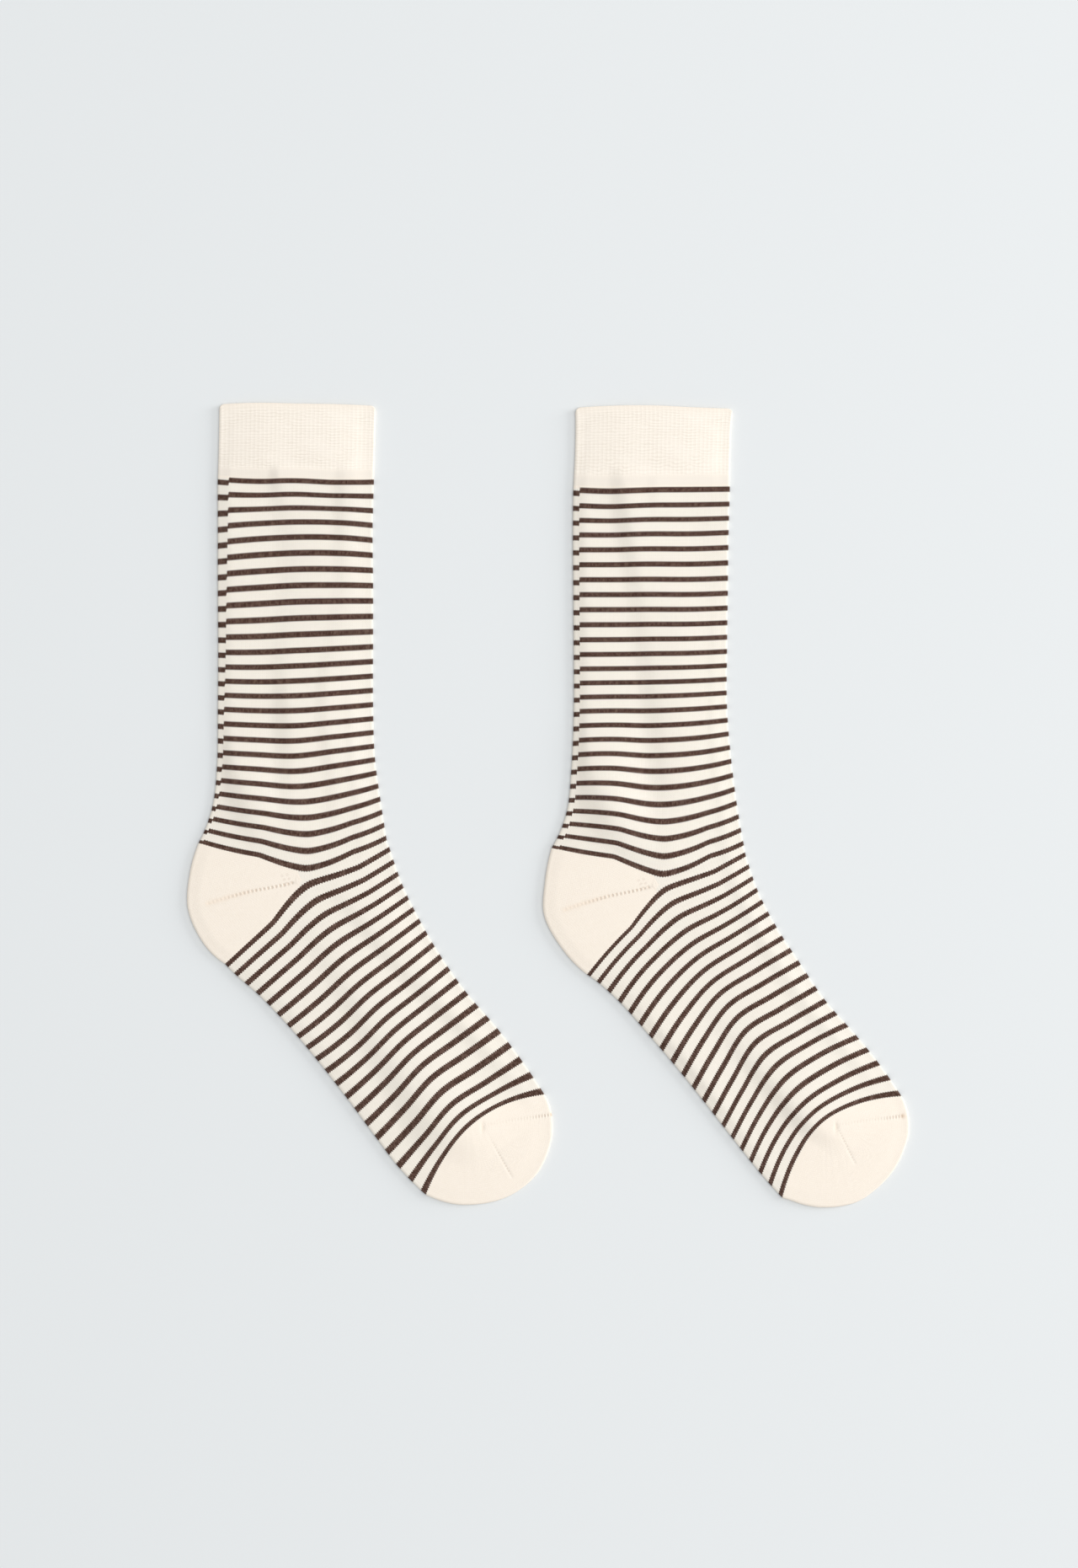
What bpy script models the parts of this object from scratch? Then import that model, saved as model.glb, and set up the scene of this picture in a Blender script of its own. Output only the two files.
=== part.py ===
"""A pair of knitted crew socks, laid flat on their sides with both toes pointing the same way.

Each sock is a tube of plain knit, flattened into an upper and an under layer that join round a soft
fold along the back and sole, and round another along the front and instep. It has four solids: the
welt or cuff, the striped leg and foot, the heel pocket and the toe cap. Every solid is a hollow
double layer with a wall of its own thickness.

A knitted course is followed across the sock from its back edge to its front edge. The rows of the
tables below are courses, numbered by the stripes: row 1 is the first stripe under the cuff, row 26
the last one above the heel, row 27 the first one on the foot and row 46 the last one before the toe.
Sizes are in millimetres and are turned into metres where the meshes are made.
"""

import math
from collections import namedtuple

import bmesh
import bpy
import numpy as np
from mathutils import Matrix

MM = 0.001

# Where the knitted pieces meet, as rows.
CUFF_TOP = -4.5
CUFF_END = 0.8
HEEL_START = 26.2
HEEL_END = 26.8
TOE_START = 46.2
TOE_TIP = 49.0
HEEL_REACH = 0.5  # how far across the sock the heel pocket comes
SEAM_GAP = 0.3  # between one piece and the next

# The cloth, and how it lies.
WALL = 1.2
CUFF_WALL = 1.5
FOLD_RADIUS = 1.8
CUFF_FOLD_RADIUS = 2.0
CROWN = 0.9  # how far the upper layer rises above its folds in the middle

# The right sock's cuff lies this far from the left one's.
PAIR_STEP = (177.0, -1.0)

# Mesh fineness, the step in across or row that slopes are measured over, how near two points are
# when they count as one, and the bend in degrees past which an edge is shaded sharp.
SMALL_STEP = 0.02
SAME_PLACE = 0.01
SHARP_BEND = 50
FOLD_STEPS = 6
ACROSS = [0.0, 0.14, 0.32, HEEL_REACH, 0.68, 0.86, 1.0]
CUFF_ROWS = [CUFF_TOP, -2.5, -0.8, CUFF_END]
LEG_ROWS = [CUFF_END, 4, 8, 12, 16, 19, 21.5, 23.5, 25, HEEL_START]
HEEL_STEPS = 9
FOOT_ROWS = [HEEL_END, 28, 30, 32.5, 35, 37.5, 40, 42, 44, 45.2, 46, TOE_START]
TOE_ROWS = [TOE_START, 46.4, 46.9, 47.5, 48.1, 48.6, TOE_TIP]

# One row is one course. back and front are its ends on the sock's two edges, from the middle of the
# cuff's top edge. sag_1 to sag_3 say how far the course hangs towards the toe from a straight line
# between its ends, at a quarter, half and three quarters of the way across. kink is the extra bend
# where the course runs into the point of the heel.
Course = namedtuple("Course", "row back_x back_y front_x front_y sag_1 sag_2 sag_3 kink")
KINK_AT = 0.57
KINK_HALF_WIDTH = 0.25
KINK_ROUNDNESS = 0.12

LEFT_LEG = [
    Course(CUFF_TOP, -38.2, -0.2, 39.8, -1.0, -1.0, -0.8, -0.7, 0.0),
    Course(-1, -38.6, -25.0, 39.2, -25.5, 0.0, -0.2, 0.0, 0.0),
    Course(1, -39.0, -37.6, 38.8, -39.0, 0.8, 0.2, 0.6, 0.0),
    Course(4, -39.0, -61.4, 38.2, -60.6, -1.4, -2.0, -1.6, 0.0),
    Course(8, -39.0, -93.0, 38.4, -90.6, -0.7, -1.2, -0.8, 0.0),
    Course(12, -38.8, -123.8, 38.4, -121.0, 0.7, 0.6, 0.4, 0.0),
    Course(16, -39.0, -152.0, 38.4, -149.8, 1.4, 2.0, 1.2, 0.0),
    Course(20, -39.4, -180.6, 39.4, -177.2, 2.2, 4.1, 2.3, 0.0),
    Course(23, -41.6, -200.2, 42.0, -196.8, 4.0, 6.6, 5.2, 1.2),
    Course(26, -48.0, -217.6, 45.0, -216.2, 6.2, 9.5, 8.3, 4.8),
]
LEFT_HEEL = [
    Course(26.35, -53.2, -235.0, 45.4, -218.3, 3.5, 7.0, 5.5, 2.2),
    Course(26.5, -53.8, -252.0, 45.8, -219.2, 0.6, 2.6, 2.2, 1.1),
    Course(26.65, -46.4, -268.4, 46.2, -220.1, -1.2, -2.6, -0.8, -1.6),
]
LEFT_FOOT = [
    Course(27, -34.6, -279.8, 46.8, -221.8, -3.1, -5.9, -2.5, -3.6),
    Course(28, -30.0, -284.4, 48.8, -228.0, -2.6, -4.6, -1.9, -2.4),
    Course(30, -19.2, -293.8, 53.2, -240.0, -1.8, -3.3, -1.3, -0.8),
    Course(33, -3.8, -309.8, 61.8, -257.4, -0.3, -1.6, -0.7, 0.0),
    Course(36, 10.2, -326.4, 72.2, -275.2, 0.8, -0.8, -0.2, 0.0),
    Course(39, 24.9, -345.2, 85.0, -293.3, -0.4, -2.0, -1.2, 0.0),
    Course(42, 40.0, -365.6, 101.2, -312.2, -1.8, -4.4, -2.1, 0.0),
    Course(44, 50.8, -379.8, 112.0, -326.4, -2.8, -5.8, -2.8, 0.0),
    Course(46, 63.2, -392.2, 122.8, -342.4, -7.7, -11.4, -8.7, 0.0),
]
LEFT_TOE = [
    Course(46.8, 68.4, -395.3, 125.4, -346.8, -5.0, -7.6, -5.6, 0.0),
    Course(47.6, 73.8, -397.4, 127.2, -352.6, 0.2, -0.4, 0.0, 0.0),
    Course(TOE_TIP, 82.5, -399.0, 127.9, -364.5, 8.6, 11.6, 9.3, 0.0),
]

RIGHT_LEG = [
    Course(CUFF_TOP, -37.8, -0.6, 40.6, -1.0, -1.2, -1.4, -0.6, 0.0),
    Course(-1, -38.0, -25.0, 39.4, -25.0, 0.0, 0.0, 0.0, 0.0),
    Course(1, -38.8, -41.6, 39.2, -41.2, 0.9, 0.4, 0.2, 0.0),
    Course(4, -39.0, -64.0, 38.6, -62.8, 0.4, 0.2, 0.4, 0.0),
    Course(8, -38.8, -93.8, 38.2, -93.0, 0.2, 0.3, 0.5, 0.0),
    Course(12, -38.6, -123.6, 37.8, -122.0, 0.3, 0.4, 0.5, 0.0),
    Course(16, -38.6, -152.0, 37.8, -149.4, 0.2, 0.9, 0.8, 0.0),
    Course(20, -39.8, -180.8, 40.0, -176.6, 0.4, 3.0, 2.8, 0.0),
    Course(23, -42.0, -201.4, 42.6, -197.4, 2.1, 5.9, 5.3, 1.4),
    Course(26, -49.0, -218.8, 46.0, -217.4, 4.7, 7.5, 7.6, 6.8),
]
RIGHT_HEEL = [
    Course(26.35, -53.0, -237.0, 46.3, -219.4, 2.8, 5.6, 5.2, 3.3),
    Course(26.5, -53.2, -254.0, 46.5, -220.3, 0.2, 1.8, 1.8, 1.2),
    Course(26.65, -44.0, -270.6, 46.7, -221.1, -2.4, -3.6, -1.6, -1.6),
]
RIGHT_FOOT = [
    Course(27, -31.2, -283.4, 47.0, -223.0, -5.1, -6.9, -3.8, -4.2),
    Course(28, -26.4, -286.9, 48.8, -229.0, -5.2, -6.9, -3.3, -2.4),
    Course(30, -15.8, -296.5, 52.9, -240.6, -5.4, -6.1, -2.7, -1.0),
    Course(33, -0.4, -313.8, 62.0, -258.4, -5.2, -7.0, -3.8, 0.0),
    Course(36, 15.8, -333.0, 73.9, -276.8, -5.8, -9.3, -5.1, 0.0),
    Course(39, 31.0, -352.2, 86.9, -295.9, -5.7, -10.3, -5.6, 0.0),
    Course(42, 44.9, -370.0, 102.8, -314.0, -6.8, -10.5, -7.0, 0.0),
    Course(44, 54.2, -381.6, 113.2, -326.8, -8.0, -10.9, -7.2, 0.0),
    Course(46, 64.0, -391.8, 123.8, -342.0, -10.7, -15.4, -11.0, 0.0),
]
RIGHT_TOE = [
    Course(46.8, 69.2, -394.8, 126.2, -346.0, -7.2, -10.7, -7.6, 0.0),
    Course(47.6, 74.6, -396.9, 128.0, -352.0, -1.0, -2.2, -1.3, 0.0),
    Course(TOE_TIP, 83.5, -398.9, 128.5, -362.5, 9.2, 10.9, 8.3, 0.0),
]

# The knit's colours, and how matt it is.
Yarn = namedtuple("Yarn", "colour roughness")
YARNS = {
    "cuff": Yarn((0.94, 0.86, 0.75), 0.9),
    "leg_and_foot": Yarn((0.91, 0.88, 0.80), 0.9),
    "heel": Yarn((0.94, 0.85, 0.73), 0.9),
    "toe": Yarn((0.94, 0.85, 0.73), 0.9),
}


def spline(knots, values, at):
    """A smooth curve through the values. Its slope at a knot is that of the parabola through the
    knot and its two neighbours."""
    knots, values = np.asarray(knots, float), np.asarray(values, float)
    gaps = np.diff(knots)
    chords = (np.diff(values, axis=0).T / gaps).T
    share = (gaps[1:] / (gaps[1:] + gaps[:-1])).reshape(-1, *[1] * (values.ndim - 1))
    inner = share * chords[:-1] + (1 - share) * chords[1:]
    slopes = np.concatenate([[2 * chords[0] - inner[0]], inner, [2 * chords[-1] - inner[-1]]])
    k = int(np.clip(np.searchsorted(knots, at, side="right") - 1, 0, len(gaps) - 1))
    t = (at - knots[k]) / gaps[k]
    blend_out, blend_in = 2 * t**3 - 3 * t**2 + 1, 3 * t**2 - 2 * t**3
    leave, arrive = t**3 - 2 * t**2 + t, t**3 - t**2
    return (
        blend_out * values[k]
        + blend_in * values[k + 1]
        + gaps[k] * (leave * slopes[k] + arrive * slopes[k + 1])
    )


def kink_shape(across):
    """A rounded peak, 1 at the point of the heel and 0 a quarter of the way to either side."""
    off = min(abs(across - KINK_AT) / KINK_HALF_WIDTH, 1.0)
    r = KINK_ROUNDNESS
    return 1 - (math.hypot(off, r) - r) / (math.hypot(1, r) - r)


class Sock:
    """One sock's courses, as a map from (across, row) to a place on the table in millimetres.
    across is 0 on the back and sole edge, and 1 on the front and instep edge."""

    def __init__(self, place, leg, heel, foot, toe):
        self.place = np.array(place)
        heel_first = self.course(leg, HEEL_START)
        heel_last = self.course(foot, HEEL_END)
        toe_first = self.course(foot, TOE_START)
        self.stretches = [
            (HEEL_START, leg),
            (HEEL_END, [heel_first, *heel, heel_last]),
            (TOE_START, foot),
            (TOE_TIP, [toe_first, *toe]),
        ]

    @staticmethod
    def course(rows, at):
        values = spline([r.row for r in rows], [r[1:] for r in rows], at)
        return Course(at, *values)

    def at(self, across, row):
        rows = next(rows for end, rows in self.stretches if row <= end)
        c = self.course(rows, row)
        back, front = np.array([c.back_x, c.back_y]), np.array([c.front_x, c.front_y])
        span = front - back
        toewards = np.array([span[1], -span[0]]) / np.linalg.norm(span)
        sags = [0, c.sag_1, c.sag_2, c.sag_3, 0]
        sag = spline([0, 0.25, 0.5, 0.75, 1], sags, across) + c.kink * kink_shape(across)
        return self.place + back + span * across + toewards * sag


def unit(vector):
    return vector / np.linalg.norm(vector)


def heading(sock, here, before, after):
    """The unit direction of the line through a place, from (across, row) steps to either side."""
    (across, row), (b_across, b_row), (a_across, a_row) = here, before, after
    return unit(sock.at(across + a_across, row + a_row) - sock.at(across + b_across, row + b_row))


def stand_off(sock, across, row, step, gap):
    """The move along an (across, row) step that takes a seam's edge back until the gap is that wide,
    measured squarely to the seam."""
    along_seam = (0, SMALL_STEP) if step[0] else (SMALL_STEP, 0)
    line = heading(sock, (across, row), [-s for s in along_seam], along_seam)
    inward = unit(sock.at(across + step[0], row + step[1]) - sock.at(across, row))
    return inward * gap / abs(inward[0] * line[1] - inward[1] * line[0])


def crown(across, row):
    """How far the upper layer rises above its folds: most in the middle, none at the edges."""
    past_foot = max(row - TOE_START, 0) / (TOE_TIP - TOE_START)
    return CROWN * 4 * across * (1 - across) * (1 - past_foot**2)


def upper_layer(bm, sock, columns, rows, seams):
    """Makes the upper layer as a grid, and returns its vertices by (column, row) index. seams names
    the sides that stand off from the next piece: start, end or reach."""
    last_column, last_row = len(columns) - 1, len(rows) - 1
    made = bmesh.ops.create_grid(bm, x_segments=last_column, y_segments=last_row, size=1)
    verts = {}
    for v in made["verts"]:
        i = round((v.co.x + 1) / 2 * last_column)
        j = round((v.co.y + 1) / 2 * last_row)
        across, row = columns[i], rows[j]
        place = sock.at(across, row)
        if j == 0 and "start" in seams:
            place = place + stand_off(sock, across, row, (0, SMALL_STEP), SEAM_GAP)
        if j == last_row and "end" in seams:
            place = place + stand_off(sock, across, row, (0, -SMALL_STEP), SEAM_GAP)
        if i == last_column and "reach" in seams:
            place = place + stand_off(sock, across, row, (-SMALL_STEP, 0), SEAM_GAP)
        v.co = (*place, 0)
        verts[i, j] = v
    return verts


def fold_paths(columns, rows, seams, hole_rows):
    """The folded edges of the upper layer as lists of (column, row) indices. Each one runs down the
    back, along the tip and up the front, as far as the piece has those edges."""
    last_column, last_row = len(columns) - 1, len(rows) - 1
    back = [(0, j) for j in range(last_row + 1)]
    front = [(last_column, j) for j in range(last_row, -1, -1)]
    if "reach" in seams:
        return [back]
    if rows[-1] == TOE_TIP:
        tip = [(i, last_row) for i in range(1, last_column)]
        return [back + tip + front]
    if hole_rows:
        return [back[: hole_rows[0] + 1], back[hole_rows[1] :], front]
    return [back, front]


def outward_directions(sock, columns, rows, path):
    """The directions that point squarely away from the cloth along a folded edge."""
    steps = [
        (np.sign(i2 - i1) * SMALL_STEP, np.sign(j2 - j1) * SMALL_STEP)
        for (i1, j1), (i2, j2) in zip(path, path[1:])
    ]
    before = [(-a, -r) for a, r in steps[:1] + steps]
    after = steps + steps[-1:]
    places = [(columns[i], rows[j]) for i, j in path]
    lines = [heading(sock, *line) for line in zip(places, before, after)]
    return np.array([(line[1], -line[0]) for line in lines])


def fold_under(bm, verts, path, outward, radius, lift):
    """Pulls a folded edge in by the fold's radius, then sweeps the cloth round the fold in steps,
    from the upper layer down to the table."""
    inner = np.array([verts[key].co[:2] for key in path]) - radius * outward
    for key, place in zip(path, inner):
        verts[key].co.xy = place
    ring = [verts[key] for key in path]
    for step in range(1, FOLD_STEPS + 1):
        angle = math.pi * step / FOLD_STEPS
        edges = [bm.edges.get(pair) for pair in zip(ring, ring[1:])]
        made = bmesh.ops.extrude_edge_only(bm, edges=edges)["geom"]
        new = {v for v in made if isinstance(v, bmesh.types.BMVert)}
        ring = [next(e.other_vert(v) for e in v.link_edges if e.other_vert(v) in new) for v in ring]
        for k, v in enumerate(ring):
            v.co.xy = inner[k] + outward[k] * radius * math.sin(angle)
            v.co.z = radius + (radius + max(lift[k] * math.cos(angle), 0)) * math.cos(angle)


def knitted_piece(name, sock, columns, rows, radius, wall, seams=(), hole=None):
    """Makes one closed piece: an upper layer, its folds, a flat under layer and the wall's inside.
    hole is the pair of rows between which the heel pocket takes the place of this piece."""
    bm = bmesh.new()
    verts = upper_layer(bm, sock, columns, rows, seams)
    hole_rows = [rows.index(row) for row in hole] if hole else None
    if hole_rows:
        reach = columns.index(HEEL_REACH)
        inside = [
            v for (i, j), v in verts.items() if i < reach and hole_rows[0] < j < hole_rows[1]
        ]
        bmesh.ops.delete(bm, geom=inside, context="VERTS")
        verts = {key: v for key, v in verts.items() if v.is_valid}
    for (i, j), v in verts.items():
        v.co.z = 2 * radius + crown(columns[i], rows[j])
    layer = list(bm.faces)
    edges_of_folds = fold_paths(columns, rows, seams, hole_rows)
    for path in edges_of_folds:
        lift = [crown(columns[i], rows[j]) for i, j in path]
        outward = outward_directions(sock, columns, rows, path)
        fold_under(bm, verts, path, outward, radius, lift)
    copied = bmesh.ops.duplicate(bm, geom=layer)["geom"]
    under = [v for v in copied if isinstance(v, bmesh.types.BMVert)]
    for v in under:
        v.co.z = 0
    bmesh.ops.remove_doubles(bm, verts=bm.verts, dist=SAME_PLACE)
    bmesh.ops.recalc_face_normals(bm, faces=bm.faces)
    highest = max(bm.faces, key=lambda f: f.calc_center_median().z)
    if highest.normal.z < 0:
        bmesh.ops.reverse_faces(bm, faces=bm.faces)
    bmesh.ops.transform(bm, matrix=Matrix.Scale(MM, 4), verts=bm.verts)

    mesh = bpy.data.meshes.new(name)
    bm.to_mesh(mesh)
    bm.free()
    mesh.shade_smooth()
    mesh.set_sharp_from_angle(angle=math.radians(SHARP_BEND))
    piece = bpy.data.objects.new(name, mesh)
    bpy.context.scene.collection.objects.link(piece)
    thickness = piece.modifiers.new("wall", "SOLIDIFY")
    thickness.thickness = wall * MM
    thickness.offset = -1
    return piece


def knit_material(name, yarn):
    material = bpy.data.materials.new(name)
    material.use_nodes = True
    shader = material.node_tree.nodes["Principled BSDF"]
    shader.inputs["Base Color"].default_value = (*yarn.colour, 1)
    shader.inputs["Roughness"].default_value = yarn.roughness
    shader.inputs["Metallic"].default_value = 0
    return material


def cuff(sock, side):
    return knitted_piece(
        f"{side}_cuff", sock, ACROSS, CUFF_ROWS, CUFF_FOLD_RADIUS, CUFF_WALL, seams=["end"]
    )


def leg_and_foot(sock, side):
    heel_rows = list(np.linspace(HEEL_START, HEEL_END, HEEL_STEPS + 1))
    rows = LEG_ROWS[:-1] + heel_rows + FOOT_ROWS[1:]
    hole = (heel_rows[0], heel_rows[-1])
    return knitted_piece(
        f"{side}_leg_and_foot", sock, ACROSS, rows, FOLD_RADIUS, WALL, hole=hole
    )


def heel(sock, side):
    rows = list(np.linspace(HEEL_START, HEEL_END, HEEL_STEPS + 1))
    columns = [across for across in ACROSS if across <= HEEL_REACH]
    return knitted_piece(
        f"{side}_heel", sock, columns, rows, FOLD_RADIUS, WALL, seams=["start", "end", "reach"]
    )


def toe(sock, side):
    return knitted_piece(
        f"{side}_toe", sock, ACROSS, TOE_ROWS, FOLD_RADIUS, WALL, seams=["start"]
    )


for old in list(bpy.data.objects):
    bpy.data.objects.remove(old)

materials = {part: knit_material(part, yarn) for part, yarn in YARNS.items()}
makers = {"cuff": cuff, "leg_and_foot": leg_and_foot, "heel": heel, "toe": toe}
socks = {
    "left": Sock((0, 0), LEFT_LEG, LEFT_HEEL, LEFT_FOOT, LEFT_TOE),
    "right": Sock(PAIR_STEP, RIGHT_LEG, RIGHT_HEEL, RIGHT_FOOT, RIGHT_TOE),
}
pieces = []
for side, sock in socks.items():
    for part, make in makers.items():
        piece = make(sock, side)
        piece.data.materials.append(materials[part])
        pieces.append(piece)

# The origin is on the table, in the middle of the pair's footprint.
corners = np.array([v.co[:] for piece in pieces for v in piece.data.vertices])
middle = (corners.min(axis=0) + corners.max(axis=0)) / 2
pair = bpy.data.objects.new("pair", None)
pair.location = (-middle[0], -middle[1], 0)
bpy.context.scene.collection.objects.link(pair)
for piece in pieces:
    piece.parent = pair
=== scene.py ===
"""A pair of fine-knit striped crew socks, laid flat on their sides with the toes pointing one way."""

import math
from collections import namedtuple

import bmesh
import bpy
import numpy as np
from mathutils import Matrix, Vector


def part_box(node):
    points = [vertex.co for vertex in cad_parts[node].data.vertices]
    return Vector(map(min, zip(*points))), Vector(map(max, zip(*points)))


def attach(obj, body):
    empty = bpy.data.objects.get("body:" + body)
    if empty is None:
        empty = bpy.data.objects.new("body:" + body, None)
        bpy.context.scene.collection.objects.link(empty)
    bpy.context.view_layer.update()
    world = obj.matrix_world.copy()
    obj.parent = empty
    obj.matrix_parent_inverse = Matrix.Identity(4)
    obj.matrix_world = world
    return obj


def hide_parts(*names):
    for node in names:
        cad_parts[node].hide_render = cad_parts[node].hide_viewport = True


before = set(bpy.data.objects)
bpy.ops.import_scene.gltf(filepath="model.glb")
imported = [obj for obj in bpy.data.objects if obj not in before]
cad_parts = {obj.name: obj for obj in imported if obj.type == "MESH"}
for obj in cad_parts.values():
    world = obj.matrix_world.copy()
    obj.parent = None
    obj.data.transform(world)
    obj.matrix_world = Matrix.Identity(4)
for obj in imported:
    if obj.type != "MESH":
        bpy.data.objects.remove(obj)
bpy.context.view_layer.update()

# The pair as it lies.
# Each sock is a tube of plain cotton knit pressed flat, with a soft fold down the back and sole and
# another down the front and instep. The machine knits it from the cuff to the toe in courses, and the
# tables follow chosen courses across the flat sock. Sizes are in millimetres.

MM = 0.001

# Courses are counted in rows of stripes: row 1 is the first dark stripe under the cuff, row 26 the last
# one above the heel, row 27 the first one on the foot and row 46 the last one before the toe.
CUFF_TOP = -4.5
HEEL_START, HEEL_END = 26.2, 26.8
TOE_START, TOE_TIP = 46.2, 49.0

# back and front are a course's two ends, from the middle of the cuff's top edge. sag_1 to sag_3 say
# how far it hangs towards the toe at a quarter, half and three quarters of the way. kink is the extra
# bend where it runs into the point of the heel.
Course = namedtuple("Course", "row back_x back_y front_x front_y sag_1 sag_2 sag_3 kink")
KINK_AT = 0.57  # across
KINK_HALF_WIDTH = 0.25
KINK_ROUNDNESS = 0.12
CORNER_RADIUS = 2.4  # of the cuff's two top corners
CORNER_TALL = 9.0  # how far down the cuff the corner's roundness is spread

LEFT_LEG = [
    Course(CUFF_TOP, -38.2, -0.2, 39.8, -1.0, -1.0, -0.8, -0.7, 0.0),
    Course(-1, -38.6, -25.0, 39.2, -25.5, 0.0, -0.2, 0.0, 0.0),
    Course(1, -39.0, -37.6, 38.8, -39.0, 0.8, 0.2, 0.6, 0.0),
    Course(4, -39.0, -61.4, 38.2, -60.6, -1.4, -2.0, -1.6, 0.0),
    Course(8, -39.0, -93.0, 38.4, -90.6, -0.7, -1.2, -0.8, 0.0),
    Course(12, -38.8, -123.8, 38.4, -121.0, 0.7, 0.6, 0.4, 0.0),
    Course(16, -39.0, -152.0, 38.4, -149.8, 1.4, 2.0, 1.2, 0.0),
    Course(20, -39.4, -180.6, 39.4, -177.2, 2.2, 4.1, 2.3, 0.0),
    Course(23, -41.6, -200.2, 42.0, -196.8, 4.0, 6.6, 5.2, 1.2),
    Course(26, -48.0, -217.6, 45.0, -216.2, 6.2, 9.5, 8.3, 4.8),
]
LEFT_HEEL = [
    Course(26.35, -53.2, -235.0, 45.4, -218.3, 3.5, 7.0, 5.5, 2.2),
    Course(26.5, -53.8, -252.0, 45.8, -219.2, 0.6, 2.6, 2.2, 1.1),
    Course(26.65, -46.4, -268.4, 46.2, -220.1, -1.2, -2.6, -0.8, -1.6),
]
LEFT_FOOT = [
    Course(27, -34.6, -279.8, 46.8, -221.8, -3.1, -5.9, -2.5, -3.6),
    Course(28, -30.0, -284.4, 48.8, -228.0, -2.6, -4.6, -1.9, -2.4),
    Course(30, -19.2, -293.8, 53.2, -240.0, -1.8, -3.3, -1.3, -0.8),
    Course(33, -3.8, -309.8, 61.8, -257.4, -0.3, -1.6, -0.7, 0.0),
    Course(36, 10.2, -326.4, 72.2, -275.2, 0.8, -0.8, -0.2, 0.0),
    Course(39, 24.9, -345.2, 85.0, -293.3, -0.4, -2.0, -1.2, 0.0),
    Course(42, 40.0, -365.6, 101.2, -312.2, -1.8, -4.4, -2.1, 0.0),
    Course(44, 50.8, -379.8, 112.0, -326.4, -2.8, -5.8, -2.8, 0.0),
    Course(46, 63.4, -392.8, 122.8, -342.4, -7.7, -11.4, -8.7, 0.0),
]
LEFT_TOE = [
    Course(46.8, 68.6, -395.7, 125.4, -346.8, -5.0, -7.6, -5.6, 0.0),
    Course(47.6, 73.8, -397.5, 127.2, -352.6, 0.2, -0.4, 0.0, 0.0),
    Course(TOE_TIP, 82.5, -399.0, 127.9, -364.5, 8.6, 11.6, 9.3, 0.0),
]

RIGHT_LEG = [
    Course(CUFF_TOP, -37.8, -0.6, 40.6, -1.0, -1.2, -1.4, -0.6, 0.0),
    Course(-1, -38.0, -25.0, 39.4, -25.0, 0.0, 0.0, 0.0, 0.0),
    Course(1, -38.8, -41.6, 39.2, -41.2, 0.9, 0.4, 0.2, 0.0),
    Course(4, -39.0, -64.0, 38.6, -62.8, 0.4, 0.2, 0.4, 0.0),
    Course(8, -38.8, -93.8, 38.2, -93.0, 0.2, 0.3, 0.5, 0.0),
    Course(12, -38.6, -123.6, 37.8, -122.0, 0.3, 0.4, 0.5, 0.0),
    Course(16, -38.6, -152.0, 37.8, -149.4, 0.2, 0.9, 0.8, 0.0),
    Course(20, -39.8, -180.8, 40.0, -176.6, 0.4, 3.0, 2.8, 0.0),
    Course(23, -42.0, -201.4, 42.6, -197.4, 2.1, 5.9, 5.3, 1.4),
    Course(26, -49.0, -218.8, 46.0, -217.4, 4.7, 7.5, 7.6, 6.8),
]
RIGHT_HEEL = [
    Course(26.35, -53.0, -237.0, 46.3, -219.4, 2.8, 5.6, 5.2, 3.3),
    Course(26.5, -53.2, -254.0, 46.5, -220.3, 0.2, 1.8, 1.8, 1.2),
    Course(26.65, -44.0, -270.6, 46.7, -221.1, -2.4, -3.6, -1.6, -1.6),
]
RIGHT_FOOT = [
    Course(27, -31.2, -283.4, 47.0, -223.0, -5.1, -6.9, -3.8, -4.2),
    Course(28, -26.4, -286.9, 48.8, -229.0, -5.2, -6.9, -3.3, -2.4),
    Course(30, -15.8, -296.5, 52.9, -240.6, -5.4, -6.1, -2.7, -1.0),
    Course(33, -0.4, -313.8, 62.0, -258.4, -5.2, -7.0, -3.8, 0.0),
    Course(36, 15.8, -333.0, 73.9, -276.8, -5.8, -9.3, -5.1, 0.0),
    Course(39, 31.0, -352.2, 86.9, -295.9, -5.7, -10.3, -5.6, 0.0),
    Course(42, 44.9, -370.0, 102.8, -314.0, -6.8, -10.5, -7.0, 0.0),
    Course(44, 54.2, -381.6, 113.2, -326.8, -8.0, -10.9, -7.2, 0.0),
    Course(46, 64.3, -393.0, 123.8, -342.0, -10.7, -15.4, -11.0, 0.0),
]
RIGHT_TOE = [
    Course(46.8, 69.4, -395.4, 126.2, -346.0, -7.2, -10.7, -7.6, 0.0),
    Course(47.6, 74.6, -397.2, 128.0, -352.0, -1.0, -2.2, -1.3, 0.0),
    Course(TOE_TIP, 83.5, -398.9, 128.5, -362.5, 9.2, 10.9, 8.3, 0.0),
]

# How the cloth rises and sinks. A swell is a broad rise of the upper layer, at five places across. A
# crease is a line along the sock where the cloth steps up towards the front edge and then eases down,
# and its wide is half the width of that step. A fold gives its radius at the back and front edges.
Swell = namedtuple("Swell", "row back near_back middle near_front front")
SWELL_AT = [0.06, 0.25, 0.5, 0.75, 0.94]
Crease = namedtuple("Crease", "row across rise wide")
Fold = namedtuple("Fold", "row back front")

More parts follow.
